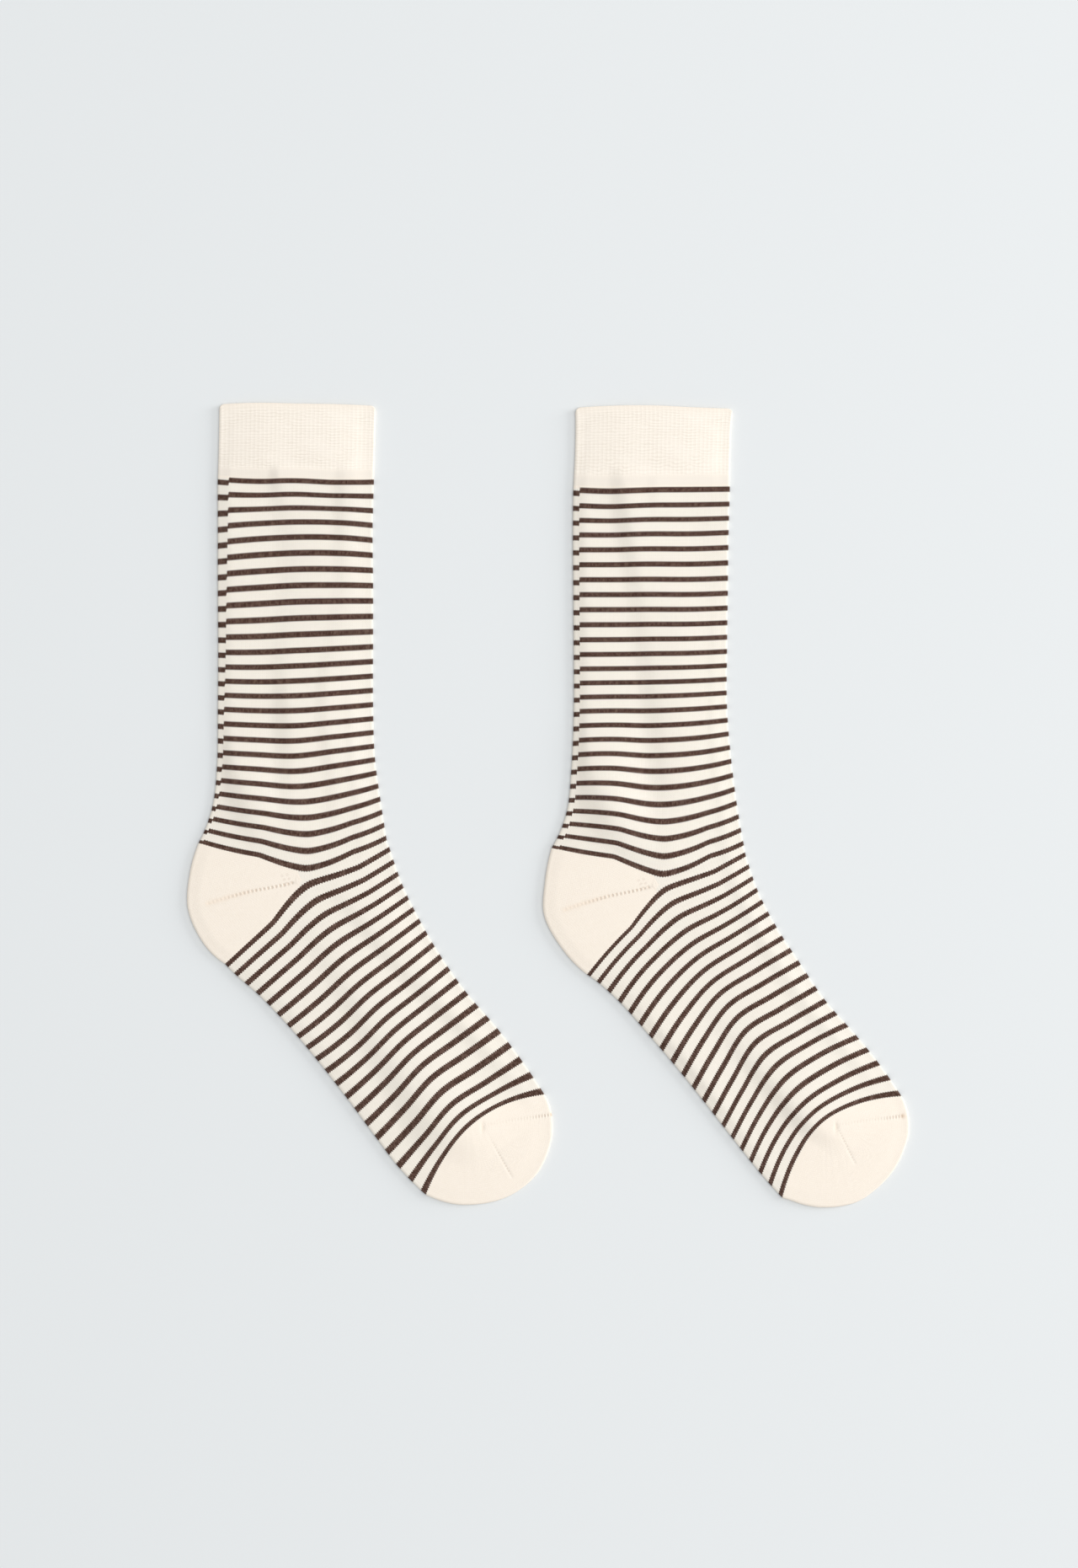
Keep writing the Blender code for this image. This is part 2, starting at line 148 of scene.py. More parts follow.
LEFT_FOLDS = [
    Fold(CUFF_TOP, 1.2, 1.15),
    Fold(0, 1.15, 1.1),
    Fold(12, 1.15, 1.1),
    Fold(21, 1.05, 1.1),
    Fold(25, 1.1, 1.1),
    Fold(27, 1.2, 1.1),
    Fold(45, 1.2, 1.05),
    Fold(TOE_TIP, 1.05, 1.05),
]
LEFT_SWELLS = [
    Swell(CUFF_TOP, 0.1, 0.2, 0.2, 0.2, 0.1),
    Swell(-0.4, 0.4, 0.9, 0.9, 0.8, 0.1),
    Swell(1.2, 0.7, 0.4, 0.0, 0.1, 0.0),
    Swell(8, 0.9, 0.5, -0.1, 0.2, 0.0),
    Swell(16, 0.9, 0.7, -0.1, 0.2, 0.0),
    Swell(20, 0.4, 0.8, 0.0, 0.1, 0.0),
    Swell(23, 0.2, 1.0, 0.4, 0.3, 0.0),
    Swell(26, 0.4, 0.6, 0.6, 0.4, 0.0),
    Swell(30, 0.7, 0.4, 0.4, 0.3, 0.0),
    Swell(36, 0.6, 0.3, 0.4, 0.2, 0.0),
    Swell(42, 0.3, 0.2, 0.6, 0.3, 0.0),
    Swell(45, 0.1, 0.2, 0.8, 0.4, 0.0),
    Swell(47, 0.2, 0.3, 0.5, 0.3, 0.0),
    Swell(TOE_TIP, 0.0, 0.0, 0.0, 0.0, 0.0),
]
LEFT_CREASES = [
    [Crease(-0.3, 0.36, 0.0, 3.0), Crease(0.9, 0.36, 1.5, 3.5), Crease(2.2, 0.38, 1.2, 5.0),
     Crease(6, 0.45, 1.3, 7.0), Crease(9, 0.43, 0.9, 6.0), Crease(13, 0.39, 1.4, 5.5),
     Crease(15, 0.40, 2.0, 5.5), Crease(18, 0.41, 2.2, 6.0), Crease(20, 0.42, 1.9, 6.0),
     Crease(22, 0.43, 1.4, 5.5), Crease(25, 0.48, 0.0, 5.0)],
    [Crease(-0.5, 0.79, 0.0, 3.0), Crease(1, 0.78, 0.9, 3.5), Crease(5, 0.78, 0.9, 4.0),
     Crease(8, 0.78, 0.8, 4.0), Crease(11, 0.73, 0.6, 4.0), Crease(14, 0.67, 1.0, 4.0),
     Crease(17, 0.67, 1.1, 4.0), Crease(21, 0.70, 0.9, 4.0), Crease(25, 0.68, 0.0, 5.0)],
    [Crease(14, 0.86, 0.0, 3.0), Crease(17, 0.84, 0.4, 2.5), Crease(21, 0.84, 0.45, 2.5),
     Crease(24, 0.85, 0.5, 3.0), Crease(27, 0.85, 0.0, 3.0)],
    [Crease(16.5, 0.00, 0.0, 5.0), Crease(19, 0.04, 1.4, 5.0), Crease(21, 0.09, 2.2, 6.5),
     Crease(22.5, 0.14, 2.1, 7.0), Crease(24, 0.20, 1.3, 7.0), Crease(26, 0.29, 0.0, 6.0)],
    [Crease(27, 0.64, 0.0, 4.0), Crease(30, 0.68, 1.1, 4.5), Crease(34, 0.72, 1.3, 4.5),
     Crease(38, 0.78, 1.2, 4.5), Crease(42, 0.84, 1.0, 4.5), Crease(45, 0.88, 0.7, 4.5),
     Crease(48, 0.9, 0.0, 4.0)],
    [Crease(28, 0.40, 0.0, 6.0), Crease(33, 0.38, 1.0, 6.0), Crease(37, 0.32, 1.5, 7.0),
     Crease(41, 0.28, 2.2, 8.5), Crease(44, 0.25, 2.9, 10.0), Crease(45.6, 0.29, 2.6, 9.5),
     Crease(47.5, 0.40, 0.0, 7.0)],
]

RIGHT_FOLDS = [
    Fold(CUFF_TOP, 1.25, 1.15),
    Fold(0, 1.2, 1.1),
    Fold(8, 1.2, 1.1),
    Fold(21, 1.2, 1.1),
    Fold(25, 1.2, 1.1),
    Fold(27, 1.3, 1.1),
    Fold(45, 1.2, 1.05),
    Fold(TOE_TIP, 1.1, 1.05),
]
RIGHT_SWELLS = [
    Swell(CUFF_TOP, 0.1, 0.2, 0.2, 0.2, 0.1),
    Swell(-0.4, 0.4, 0.9, 0.9, 0.8, 0.2),
    Swell(1.2, 0.9, 0.5, 0.1, 0.2, 0.1),
    Swell(8, 1.3, 0.8, -0.2, 0.2, 0.1),
    Swell(16, 1.3, 1.1, -0.1, 0.2, 0.1),
    Swell(20, 0.6, 1.3, 0.3, 0.3, 0.1),
    Swell(23, 0.2, 1.4, 0.9, 0.4, 0.2),
    Swell(26, 0.4, 0.8, 0.8, 0.5, 0.1),
    Swell(30, 0.7, 0.4, 0.4, 0.5, 0.1),
    Swell(36, 0.9, 0.3, 0.4, 0.6, 0.1),
    Swell(42, 0.7, 0.1, 0.6, 0.7, 0.1),
    Swell(45, 0.5, 0.1, 0.8, 0.6, 0.1),
    Swell(47, 0.2, 0.3, 0.5, 0.4, 0.0),
    Swell(TOE_TIP, 0.0, 0.0, 0.0, 0.0, 0.0),
]
RIGHT_CREASES = [
    [Crease(-0.5, 0.26, 0.0, 3.5), Crease(1, 0.28, 1.8, 5.0), Crease(5, 0.345, 2.0, 5.5),
     Crease(9, 0.41, 1.7, 6.0), Crease(13, 0.46, 1.8, 6.0), Crease(17, 0.515, 1.8, 6.5),
     Crease(21, 0.54, 1.5, 6.0), Crease(24, 0.56, 0.8, 5.0), Crease(26, 0.60, 0.0, 5.0)],
    [Crease(5, 0.93, 0.0, 2.5), Crease(9, 0.91, 0.45, 2.5), Crease(14, 0.90, 0.6, 2.8),
     Crease(18, 0.89, 0.65, 2.8), Crease(22, 0.89, 0.6, 3.0), Crease(26, 0.89, 0.45, 3.0),
     Crease(30, 0.87, 0.7, 4.0), Crease(36, 0.86, 0.85, 4.5), Crease(42, 0.87, 0.7, 4.5),
     Crease(46, 0.90, 0.0, 4.0)],
    [Crease(0, 0.50, 0.0, 3.0), Crease(1, 0.50, 0.6, 3.0), Crease(3, 0.51, 0.0, 3.0)],
    [Crease(15.5, 0.00, 0.0, 5.0), Crease(18.5, 0.04, 1.5, 5.0), Crease(21, 0.09, 2.4, 7.0),
     Crease(22.7, 0.15, 2.9, 8.0), Crease(24, 0.21, 2.1, 8.0), Crease(25.8, 0.31, 0.0, 7.0)],
    [Crease(34, 0.40, 0.0, 4.0), Crease(38, 0.37, 0.8, 5.0), Crease(41, 0.375, 1.6, 5.0),
     Crease(44, 0.38, 2.3, 5.0), Crease(45.6, 0.40, 2.1, 5.0), Crease(47.5, 0.46, 0.0, 5.0)],
    [Crease(30, 0.02, 0.0, 3.0), Crease(33, 0.03, 0.5, 3.0), Crease(37, 0.04, 0.5, 3.0),
     Crease(40, 0.03, 0.0, 3.0)],
]
CREASE_EASE = 34.0  # how far past its step the cloth takes to ease down again
BACK_FADE = 7.0  # swells and creases die out over this distance from the back edge
FRONT_FADE = {"left": 12.0, "right": 9.0}  # and over this one from the front edge

# The cloth.
# Pressed flat, each sock's cloth makes two layers, which turn into each other in a soft fold down the
# back and sole and another down the front and instep. A Sock gives the place and height of any stitch.

WIDEST_FOLD = 1.8
CROWN = 0.5  # how much higher the middle of the sock lies than its edges
WALES = 76  # stitches across one face
COURSES = 10  # courses in a row: four dark and six light
ROW_TALL = 7.4  # how tall a row is in the cuff
FOLD_SHARE = 0.0353  # a quarter turn of the fold, as a share of the stitches across one face
WIDEST_INSET = 0.25  # the most that a quarter turn takes up across
DERIVATIVE_STEP = 0.01


def spline(knots, values, at):
    """Smooth curves through the values, one to a column, at each place in at. The slope at a knot is
    that of the parabola through the knot and its two neighbours."""
    knots, values, at = (np.asarray(a, float) for a in (knots, values, at))
    gaps = np.diff(knots)
    chords = np.diff(values, axis=0) / gaps[:, None]
    share = (gaps[1:] / (gaps[1:] + gaps[:-1]))[:, None]
    inner = share * chords[:-1] + (1 - share) * chords[1:]
    slopes = np.vstack([2 * chords[:1] - inner[:1], inner, 2 * chords[-1:] - inner[-1:]])
    k = np.clip(np.searchsorted(knots, at, side="right") - 1, 0, len(gaps) - 1)
    gap = gaps[k][:, None]
    t = (at - knots[k])[:, None] / gap
    kept = 2 * t**3 - 3 * t**2 + 1
    bend = (t**3 - 2 * t**2 + t) * slopes[k] + (t**3 - t**2) * slopes[k + 1]
    return kept * values[k] + (1 - kept) * values[k + 1] + gap * bend


def smooth(t):
    t = np.clip(t, 0, 1)
    return t * t * (3 - 2 * t)


def ramp(value, start, end):
    """0 up to start, 1 from end on, and a smooth step between them."""
    return smooth((value - start) / (end - start))


def mound(t):
    """1 where t is 0, falling away smoothly on both sides."""
    return np.exp(-(t**2))


def cross(a, b):
    return a[..., 0] * b[..., 1] - a[..., 1] * b[..., 0]


def lengths_of(steps):
    return np.linalg.norm(steps, axis=1)


def quarter_turn(share):
    """How far in plan a share of a quarter turn reaches, as a part of the turn's radius."""
    return 1 - np.cos(np.clip(share, 0, 1) * math.pi / 2)


def fold_reach(inwards, along, most):
    """How far inwards a quarter turn of the widest fold goes, at an edge that runs along."""
    along = along / lengths_of(along)[:, None]
    return np.minimum(WIDEST_FOLD / np.maximum(np.abs(cross(inwards, along)), 1e-6), most)


class Sock:
    """One sock as it lies: a map from (across, row) to the table and to the cloth's height. across is
    0 on the back and sole edge, and 1 on the front and instep edge."""

    def __init__(self, side, leg, heel, foot, toe, folds, swells, creases):
        self.side = side
        first_heel, last_heel, first_toe = (
            Course(row, *self.course(rows, [row])[0])
            for rows, row in ((leg, HEEL_START), (foot, HEEL_END), (foot, TOE_START))
        )
        self.stretches = [leg, [first_heel, *heel, last_heel], foot, [first_toe, *toe]]
        self.folds, self.swells, self.creases = folds, swells, creases
        self.place = np.zeros(2)
        self.place = self.place_in_frame()
        self.outline = self.edge_line()

    @staticmethod
    def course(rows, at):
        return spline([r.row for r in rows], [r[1:] for r in rows], at)

    def place_in_frame(self):
        """Where the middle of the cuff's top edge lies, so that the cuff covers the frame's one."""
        across, rows = np.meshgrid([0, 0.5, 1], np.linspace(CUFF_TOP, 0.8, 9))
        drawn = self.at(across.ravel(), rows.ravel())
        low, high = (np.array(corner[:2]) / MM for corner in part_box(f"{self.side}_cuff"))
        middle_x = (low[0] + high[0] - drawn[:, 0].min() - drawn[:, 0].max()) / 2
        return np.array([middle_x, high[1] - drawn[:, 1].max()])

    def at(self, across, row):
        """The place of each across and row."""
        across, row = np.broadcast_arrays(np.asarray(across, float), np.asarray(row, float))
        stretch = np.searchsorted([HEEL_START, HEEL_END, TOE_START], row, side="left")
        c = np.zeros((len(row), len(Course._fields) - 1))
        for k, rows in enumerate(self.stretches):
            c[stretch == k] = self.course(rows, row[stretch == k])
        back, front, sags, kink = c[:, 0:2], c[:, 2:4], c[:, 4:7], c[:, 7]
        span = front - back
        wide = lengths_of(span)
        toewards = np.stack([span[:, 1], -span[:, 0]], 1) / wide[:, None]
        hang = spline([0, 0.25, 0.5, 0.75, 1], np.eye(5), across)
        sag = (hang[:, 1:4] * sags).sum(1)
        off = np.minimum(np.abs(across - KINK_AT) / KINK_HALF_WIDTH, 1)
        r = KINK_ROUNDNESS
        sag += kink * (1 - (np.hypot(off, r) - r) / (math.hypot(1, r) - r))
        inwards = np.clip(np.minimum(across, 1 - across) * wide, 0, CORNER_RADIUS)
        corner = CORNER_RADIUS - np.sqrt(CORNER_RADIUS**2 - (CORNER_RADIUS - inwards) ** 2)
        sag += corner * (1 - smooth((row - CUFF_TOP) * ROW_TALL / CORNER_TALL))
        return self.place + back + span * across[:, None] + toewards * sag[:, None]

    def line(self, across, row, steps):
        """Places along a line whose across or row, or both, run from one value to another."""
        return self.at(*(np.linspace(*np.broadcast_to(ends, 2), steps) for ends in (across, row)))

    def edge_line(self):
        """The folded edges: down the back and sole, round the toe and up the instep and front."""
        rows = np.concatenate([
            np.linspace(CUFF_TOP, CUFF_TOP + CORNER_RADIUS / ROW_TALL, 12),
            np.linspace(CUFF_TOP + 0.4, HEEL_START, 100),
            np.linspace(HEEL_START, HEEL_END, 50),
            np.linspace(HEEL_END, TOE_START, 90),
            np.linspace(TOE_START, TOE_TIP, 24),
        ])
        return np.vstack([self.at(0, rows), self.line((0, 1), TOE_TIP, 40), self.at(1, rows[::-1])])

    def from_edge(self, places):
        """How far each place lies inside the folded edges."""
        start, step = self.outline[:-1], np.diff(self.outline, axis=0)
        length = np.maximum((step**2).sum(1), 1e-9)
        off = np.full(len(places), np.inf)
        for k in range(len(start)):
            near = places - start[k]
            t = np.clip(near @ step[k] / length[k], 0, 1)
            off = np.minimum(off, np.hypot(near[:, 0] - t * step[k, 0], near[:, 1] - t * step[k, 1]))
        return off

    def slopes(self, across, row):
        """How the place changes with across and with row."""
        h = DERIVATIVE_STEP
        by_across = (self.at(across + h, row) - self.at(across - h, row)) / (2 * h)
        by_row = (self.at(across, row + h) - self.at(across, row - h)) / (2 * h)
        return by_across, by_row

    def inset(self, share, row):
        """across for each share of the stitches of one face. The first and last stitches lie on the
        quarter turns of the folds, so they are closer together in plan."""
        by_across, by_row = self.slopes(np.where(share < 0.5, 0.0, 1.0), row)
        reach = fold_reach(by_across, by_row, WIDEST_INSET)
        from_end = np.minimum(share, 1 - share)
        on_turn = reach * quarter_turn(from_end / FOLD_SHARE)
        flat = reach + (0.5 - reach) * (from_end - FOLD_SHARE) / (0.5 - FOLD_SHARE)
        inside = np.where(from_end < FOLD_SHARE, on_turn, flat)
        return np.where(share < 0.5, inside, 1 - inside)

    def folded(self, across, row, off):
        """The middle line of the folds, and how far the cloth stands off it this far from an edge."""
        back, front = spline([f.row for f in self.folds], [f[1:] for f in self.folds], row).T
        radius = back + (front - back) * smooth(across)
        return radius, radius * np.sqrt(1 - np.clip(1 - off / radius, 0, 1) ** 2)

    def relief(self, across, row, off):
        """How much higher the upper layer is than its folds."""
        on_toe = np.clip((row - TOE_START) / (TOE_TIP - TOE_START), 0, 1)
        crown = CROWN * 4 * across * (1 - across) * (1 - on_toe**2)
        levels = spline([s.row for s in self.swells], [s[1:] for s in self.swells], row)
        weights = spline(SWELL_AT, np.eye(5), np.clip(across, SWELL_AT[0], SWELL_AT[-1]))
        height = (levels * weights).sum(1)
        by_across, _ = self.slopes(across, row)
        width = lengths_of(by_across)
        for crease in self.creases:
            rows = [c.row for c in crease]
            inside = (row > rows[0]) & (row < rows[-1])
            middle, rise, wide = spline(rows, [c[1:] for c in crease], np.clip(row, rows[0], rows[-1])).T
            past = (across - middle) * width
            step = smooth((past + wide) / (2 * wide))
            ease = 1 - smooth((past - wide) / CREASE_EASE)
            height += np.where(inside, np.maximum(rise, 0) * step * ease, 0)
        fade = BACK_FADE + (FRONT_FADE[self.side] - BACK_FADE) * smooth(across)
        return (crown + height) * smooth(off / fade)


socks = [
    Sock("left", LEFT_LEG, LEFT_HEEL, LEFT_FOOT, LEFT_TOE, LEFT_FOLDS, LEFT_SWELLS, LEFT_CREASES),
    Sock("right", RIGHT_LEG, RIGHT_HEEL, RIGHT_FOOT, RIGHT_TOE, RIGHT_FOLDS, RIGHT_SWELLS, RIGHT_CREASES),
]

# Cuffs.
# The welt at the top of each sock is knitted double in cream cotton over a laid-in elastic, as fine
# ribs two stitches wide, and its top edge is a turned fold. A few plain courses join it to the leg.

CUFF_END = 0.7
CUFF_WALL = 1.1
CUFF_COLUMNS = 2 * WALES
CUFF_COURSE_LINES = 2  # lines of the mesh to a course
RIB_WALES = 2
RIB_COURSES = 2
RIB_DEPTH = 0.035
BAR_DEPTH = 0.05
RIBS_FADE = (-0.15, 0.2)  # the rows over which the ribs die out into plain knit
UNDER_SHARE = 0.35  # how much of the creases shows in the under layer
UNDER_FROM = 0.5  # creases lower than this don't show there
THINNEST_RIM = 0.1  # as a share of the wall
SHARP_BEND = 42  # degrees


class Wire:
    """A value in a material's nodes. Python's operators on it add Math nodes."""

    def __init__(self, tree, socket=None):
        self.tree, self.socket = tree, socket

    def node(self, kind, settings, inputs, output=0):
        """Adds a node, with its settings first, and returns one of its outputs."""
        made = self.tree.nodes.new(kind)
        for name, value in settings.items():
            setattr(made, name, value)
        for name, value in inputs.items():
            if isinstance(value, Wire):
                self.tree.links.new(value.socket, made.inputs[name])
            else:
                made.inputs[name].default_value = value
        return Wire(self.tree, made.outputs[output])

    def math(self, operation, *values):
        return self.node("ShaderNodeMath", {"operation": operation}, dict(enumerate(values)))

    def __add__(self, other):
        return self.math("ADD", self, other)

    def __radd__(self, other):
        return self.math("ADD", other, self)

    def __sub__(self, other):
        return self.math("SUBTRACT", self, other)

    def __rsub__(self, other):
        return self.math("SUBTRACT", other, self)

    def __mul__(self, other):
        return self.math("MULTIPLY", self, other)

    def __rmul__(self, other):
        return self.math("MULTIPLY", other, self)

    def __truediv__(self, other):
        return self.math("DIVIDE", self, other)

    def __rtruediv__(self, other):
        return self.math("DIVIDE", other, self)

    def __pow__(self, other):
        return self.math("POWER", self, other)

    def __rpow__(self, other):
        return self.math("POWER", other, self)

    def __lt__(self, other):
        return self.math("LESS_THAN", self, other)

    def __gt__(self, other):
        return self.math("GREATER_THAN", self, other)

    def __abs__(self):
        return self.math("ABSOLUTE", self)

    def share(self):
        """What is left over a whole number."""
        return self.math("FRACT", self)

    def whole(self):
        return self.math("FLOOR", self)

    def held(self):
        """Kept between 0 and 1."""
        return self.node("ShaderNodeClamp", {}, {"Value": self})

    def mix(self, first, second):
        """A colour: the first where this is 0, and the second where it is 1."""
        return self.node("ShaderNodeMix", {"data_type": "RGBA"}, {0: self, 6: first, 7: second}, 2)

    def with_course(self, course):
        """The place with this wale and that course."""
        return self.node("ShaderNodeCombineXYZ", {}, {0: self, 1: course})

    def part(self, number):
        """One of a place's numbers."""
        return self.node("ShaderNodeSeparateXYZ", {}, {0: self}, number)

    def noise(self, scale, detail):
        """Soft random values over places, between 0 and 1."""
        return self.node("ShaderNodeTexNoise", {}, {"Vector": self, "Scale": scale, "Detail": detail})

    def chance(self):
        """A random value for each whole place, between 0 and 1."""
        return self.node("ShaderNodeTexWhiteNoise", {"noise_dimensions": "2D"}, {"Vector": self})


YARN_ROUGHNESS = 0.92
YARN_GLOSS = 0.08
STRAND_ROUND = 0.45  # how far a strand's sides lie under its top, in stitch depths
MIDDLE_GROOVE = 0.24  # the groove down the middle of a wale
SIDE_GROOVE = 0.54  # the groove between two wales
FUZZ = 0.35
BUMP_STRENGTH = 0.55


def knit_material(name, colour_of, stitch_depth):
    """A knit's material. Its UV map counts wales across and courses along. From the wires of those,
    colour_of makes the yarn's colour, the course each leg of a stitch belongs to, and how far the
    cloth is sunk, in stitch depths."""
    material = bpy.data.materials.new(name)
    material.use_nodes = True
    tree = material.node_tree
    counted = Wire(tree).node("ShaderNodeUVMap", {"uv_map": "stitches"}, {})
    wale, course = counted.part(0), counted.part(1)

    # A stitch is a V: each of its legs slants from the middle of the wale out to its side.
    side = abs(wale.share() - 0.5) * 2
    colour, turned, sunk = colour_of(wale, course, side)
    strand = (turned.share() * 2 - 1) ** 2 * STRAND_ROUND
    groove = (1 - side) ** 6 * MIDDLE_GROOVE + side**6 * SIDE_GROOVE
    height = 1 - strand - groove - sunk + counted.noise(scale=2.3, detail=3) * FUZZ
    shape = {"Height": height, "Strength": BUMP_STRENGTH, "Distance": stitch_depth * MM}
    bump = counted.node("ShaderNodeBump", {}, shape)
    shader = tree.nodes["Principled BSDF"]
    tree.links.new(colour.socket, shader.inputs["Base Color"])
    tree.links.new(bump.socket, shader.inputs["Normal"])
    shader.inputs["Roughness"].default_value = YARN_ROUGHNESS
    shader.inputs["Specular IOR Level"].default_value = YARN_GLOSS
    return material


CREAM = (0.922, 0.845, 0.748, 1)
CREAM_DEEP = (0.868, 0.775, 0.665, 1)
CREAM_SLANT = 0.55  # how far the legs of a cream stitch slant, in courses
CREAM_DIP_SHADE = (0.810, 0.738, 0.640, 1)  # painted shade in the dips between the ribs
CREAM_TOP = (0.950, 0.890, 0.805, 1)  # on the ribs' tops
CREAM_PLAIN_SHADE = (0.862, 0.795, 0.708, 1)  # painted shade over the plain courses under the ribs
TOP_SHARE = 0.7  # how far the ribs' tops turn to CREAM_TOP
RIB_DIP_SHADE = 0.5  # how strongly the painted shade in the dips between ribs shows
BAR_DIP_SHADE = 0.7  # and in the dips between bars
BAR_WANDER = 2.0  # how far the bars wander, in bars
GRID_UNEVEN, GRID_FAINTEST = 1.8, -0.2  # how much both vary from place to place
PLAIN_COURSE = 3  # the ribs' dips are gone from this course on
RIM_COURSES = 6  # and they begin over this many courses under the rim

# How much deeper a yarn's colour is from stitch to stitch, as painted shade in the groove between two
# wales, and in broad clouds.
Deeper = namedtuple("Deeper", "stitch gap cloud")
CREAM_DEEPER = Deeper(0.22, 0.3, 0.3)


def deeper(amounts, chance, side, cloud):
    # side**5 darkens the sides of each wale: painted shade in the groove between two wales.
    return (chance * amounts.stitch + side**5 * amounts.gap + cloud * amounts.cloud).held()


def plain_cream(wale, course, side):
    """Cream yarn, a little deeper from stitch to stitch, with painted shade in the grooves between the
    wales.
    """
    turned = course + side * CREAM_SLANT
    stitch = wale.whole().with_course(turned.whole())
    depth = deeper(CREAM_DEEPER, stitch.chance(), side, stitch.noise(scale=0.09, detail=2))
    return depth.mix(CREAM, CREAM_DEEP), turned, 0


def ribbed_cream(wale, course, side):
    """The welt's cream knit, with a faint grid of painted shade in the dips between its ribs and bars."""
    colour, turned, _ = plain_cream(wale, course, side)
    place = wale.with_course(course)
    wander = (place.noise(scale=0.19, detail=2) - 0.5) * BAR_WANDER
    rib = ((wale / RIB_WALES).share() * 2 - 1) ** 2
    bar = ((course / RIB_COURSES + wander).share() * 2 - 1) ** 2
    plain = (course / PLAIN_COURSE).held()
    ribbed = (1 - plain) * ((course - CUFF_TOP * COURSES) / RIM_COURSES).held()
    uneven = (place.noise(scale=0.07, detail=3) * GRID_UNEVEN + GRID_FAINTEST).held()
    # dip sets both the painted shade in the dips and how far the cloth sinks there.
    dip = (rib * RIB_DIP_SHADE + bar * BAR_DIP_SHADE) * ribbed * uneven
    grid = dip.held().mix((ribbed * TOP_SHARE).mix(colour, CREAM_TOP), CREAM_DIP_SHADE)
    # The plain courses under the ribs take a painted shade.
    return plain.mix(grid, CREAM_PLAIN_SHADE), turned, dip


def add_object(name, data):
    made = bpy.data.objects.new(name, data)
    bpy.context.scene.collection.objects.link(made)
    return made


def plan_grid(columns, rows):
    """A flat grid mesh, and the column and the line of it that each of its vertices is on."""
    bm = bmesh.new()
    bmesh.ops.create_grid(bm, x_segments=columns, y_segments=rows, size=1)
    mesh = bpy.data.meshes.new("grid")
    bm.to_mesh(mesh)
    bm.free()
    co = np.zeros((len(mesh.vertices), 3), np.float32)
    mesh.vertices.foreach_get("co", co.ravel())
    column, line = np.rint((co[:, 0:2] + 1) / 2 * [columns, rows]).astype(int).T
    return mesh, column, line


# A grid laid on a sock: each vertex's across and row, its place, and how far that is from the folds.
Laid = namedtuple("Laid", "grid across row places off")


def lay(sock, grid, across, row, on_fold):
    places = sock.at(across, row)
    return Laid(grid, across, row, places, np.where(on_fold, 0, sock.from_edge(places)))


def add_uv_map(mesh, name, values):
    mesh.uv_layers.new(name=name).data.foreach_set("uv", values.astype(np.float32).ravel())


def corners_of(mesh):
    """The vertex at each of the mesh's face corners."""
    corners = np.zeros(len(mesh.loops), np.int32)
    mesh.loops.foreach_get("vertex_index", corners)
    return corners


def layer(laid, heights, upward, counts):
    """A copy of the laid grid at those heights, facing up or down, with its stitch counts."""
    mesh = laid.grid.copy()
    co = np.column_stack([laid.places, heights]) * MM
    mesh.vertices.foreach_set("co", co.astype(np.float32).ravel())
    mesh.update()
    normals = np.zeros((len(mesh.polygons), 3), np.float32)
    mesh.polygons.foreach_get("normal", normals.ravel())
    if (normals[:, 2].mean() > 0) != upward:
        mesh.flip_normals()
    add_uv_map(mesh, "stitches", counts(laid.places, corners_of(mesh), upward))
    return mesh


def both_layers(sock, laid, counts, dug=0, dug_under=0):
    """The upper layer, with its swells and creases, and the under layer, which shows them faintly."""
    middle, stand = sock.folded(laid.across, laid.row, laid.off)
    relief = sock.relief(laid.across, laid.row, laid.off)
    high = middle + stand + relief - dug
    low = middle - stand + dug_under + UNDER_SHARE * np.maximum(relief - UNDER_FROM, 0)
    layers = [layer(laid, high, True, counts), layer(laid, low, False, counts)]
    bpy.data.meshes.remove(laid.grid)
    return layers


def shell(name, layers, wall):
    """Joins the two layers along their folded edges and gives the cloth its wall."""
    bm = bmesh.new()
    for mesh in layers:
        bm.from_mesh(mesh)
        bpy.data.meshes.remove(mesh)
    bmesh.ops.remove_doubles(bm, verts=bm.verts, dist=0.002 * MM)
    mesh = bpy.data.meshes.new(name)
    bm.to_mesh(mesh)
    bm.free()
    mesh.shade_smooth()
    piece = add_object(name, mesh)
    thickness = piece.modifiers.new("wall", "SOLIDIFY")
    thickness.thickness = wall * MM
    thickness.offset = -1
    walled = bpy.data.meshes.new_from_object(piece.evaluated_get(bpy.context.evaluated_depsgraph_get()))
    piece.modifiers.clear()
    piece.data = walled
    bpy.data.meshes.remove(mesh)
    walled.name = name
    walled.set_sharp_from_angle(angle=math.radians(SHARP_BEND))
    return piece


def finish_piece(piece, material):
    piece.data.materials.clear()
    piece.data.materials.append(material)
    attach(piece, "root")
    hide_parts(piece.name.removesuffix("_knit"))


def counted_by_share(share, row):
    """Stitch counts for a tube: wales from the back edge, negative on the under side, and courses."""

    def counts(places, corners, upward):
        wales = share * WALES * (1 if upward else -1)
        return np.column_stack([wales, row * COURSES])[corners]

    return counts


def rib_dips(share, row):
    """How far the welt dips between its ribs and its bars."""
    rib = np.cos(share * WALES / RIB_WALES * 2 * math.pi)
    bar = np.cos(row * COURSES / RIB_COURSES * 2 * math.pi)
    return (1 - ramp(row, *RIBS_FADE)) * (RIB_DEPTH * (1 - rib) + BAR_DEPTH * (1 - bar))


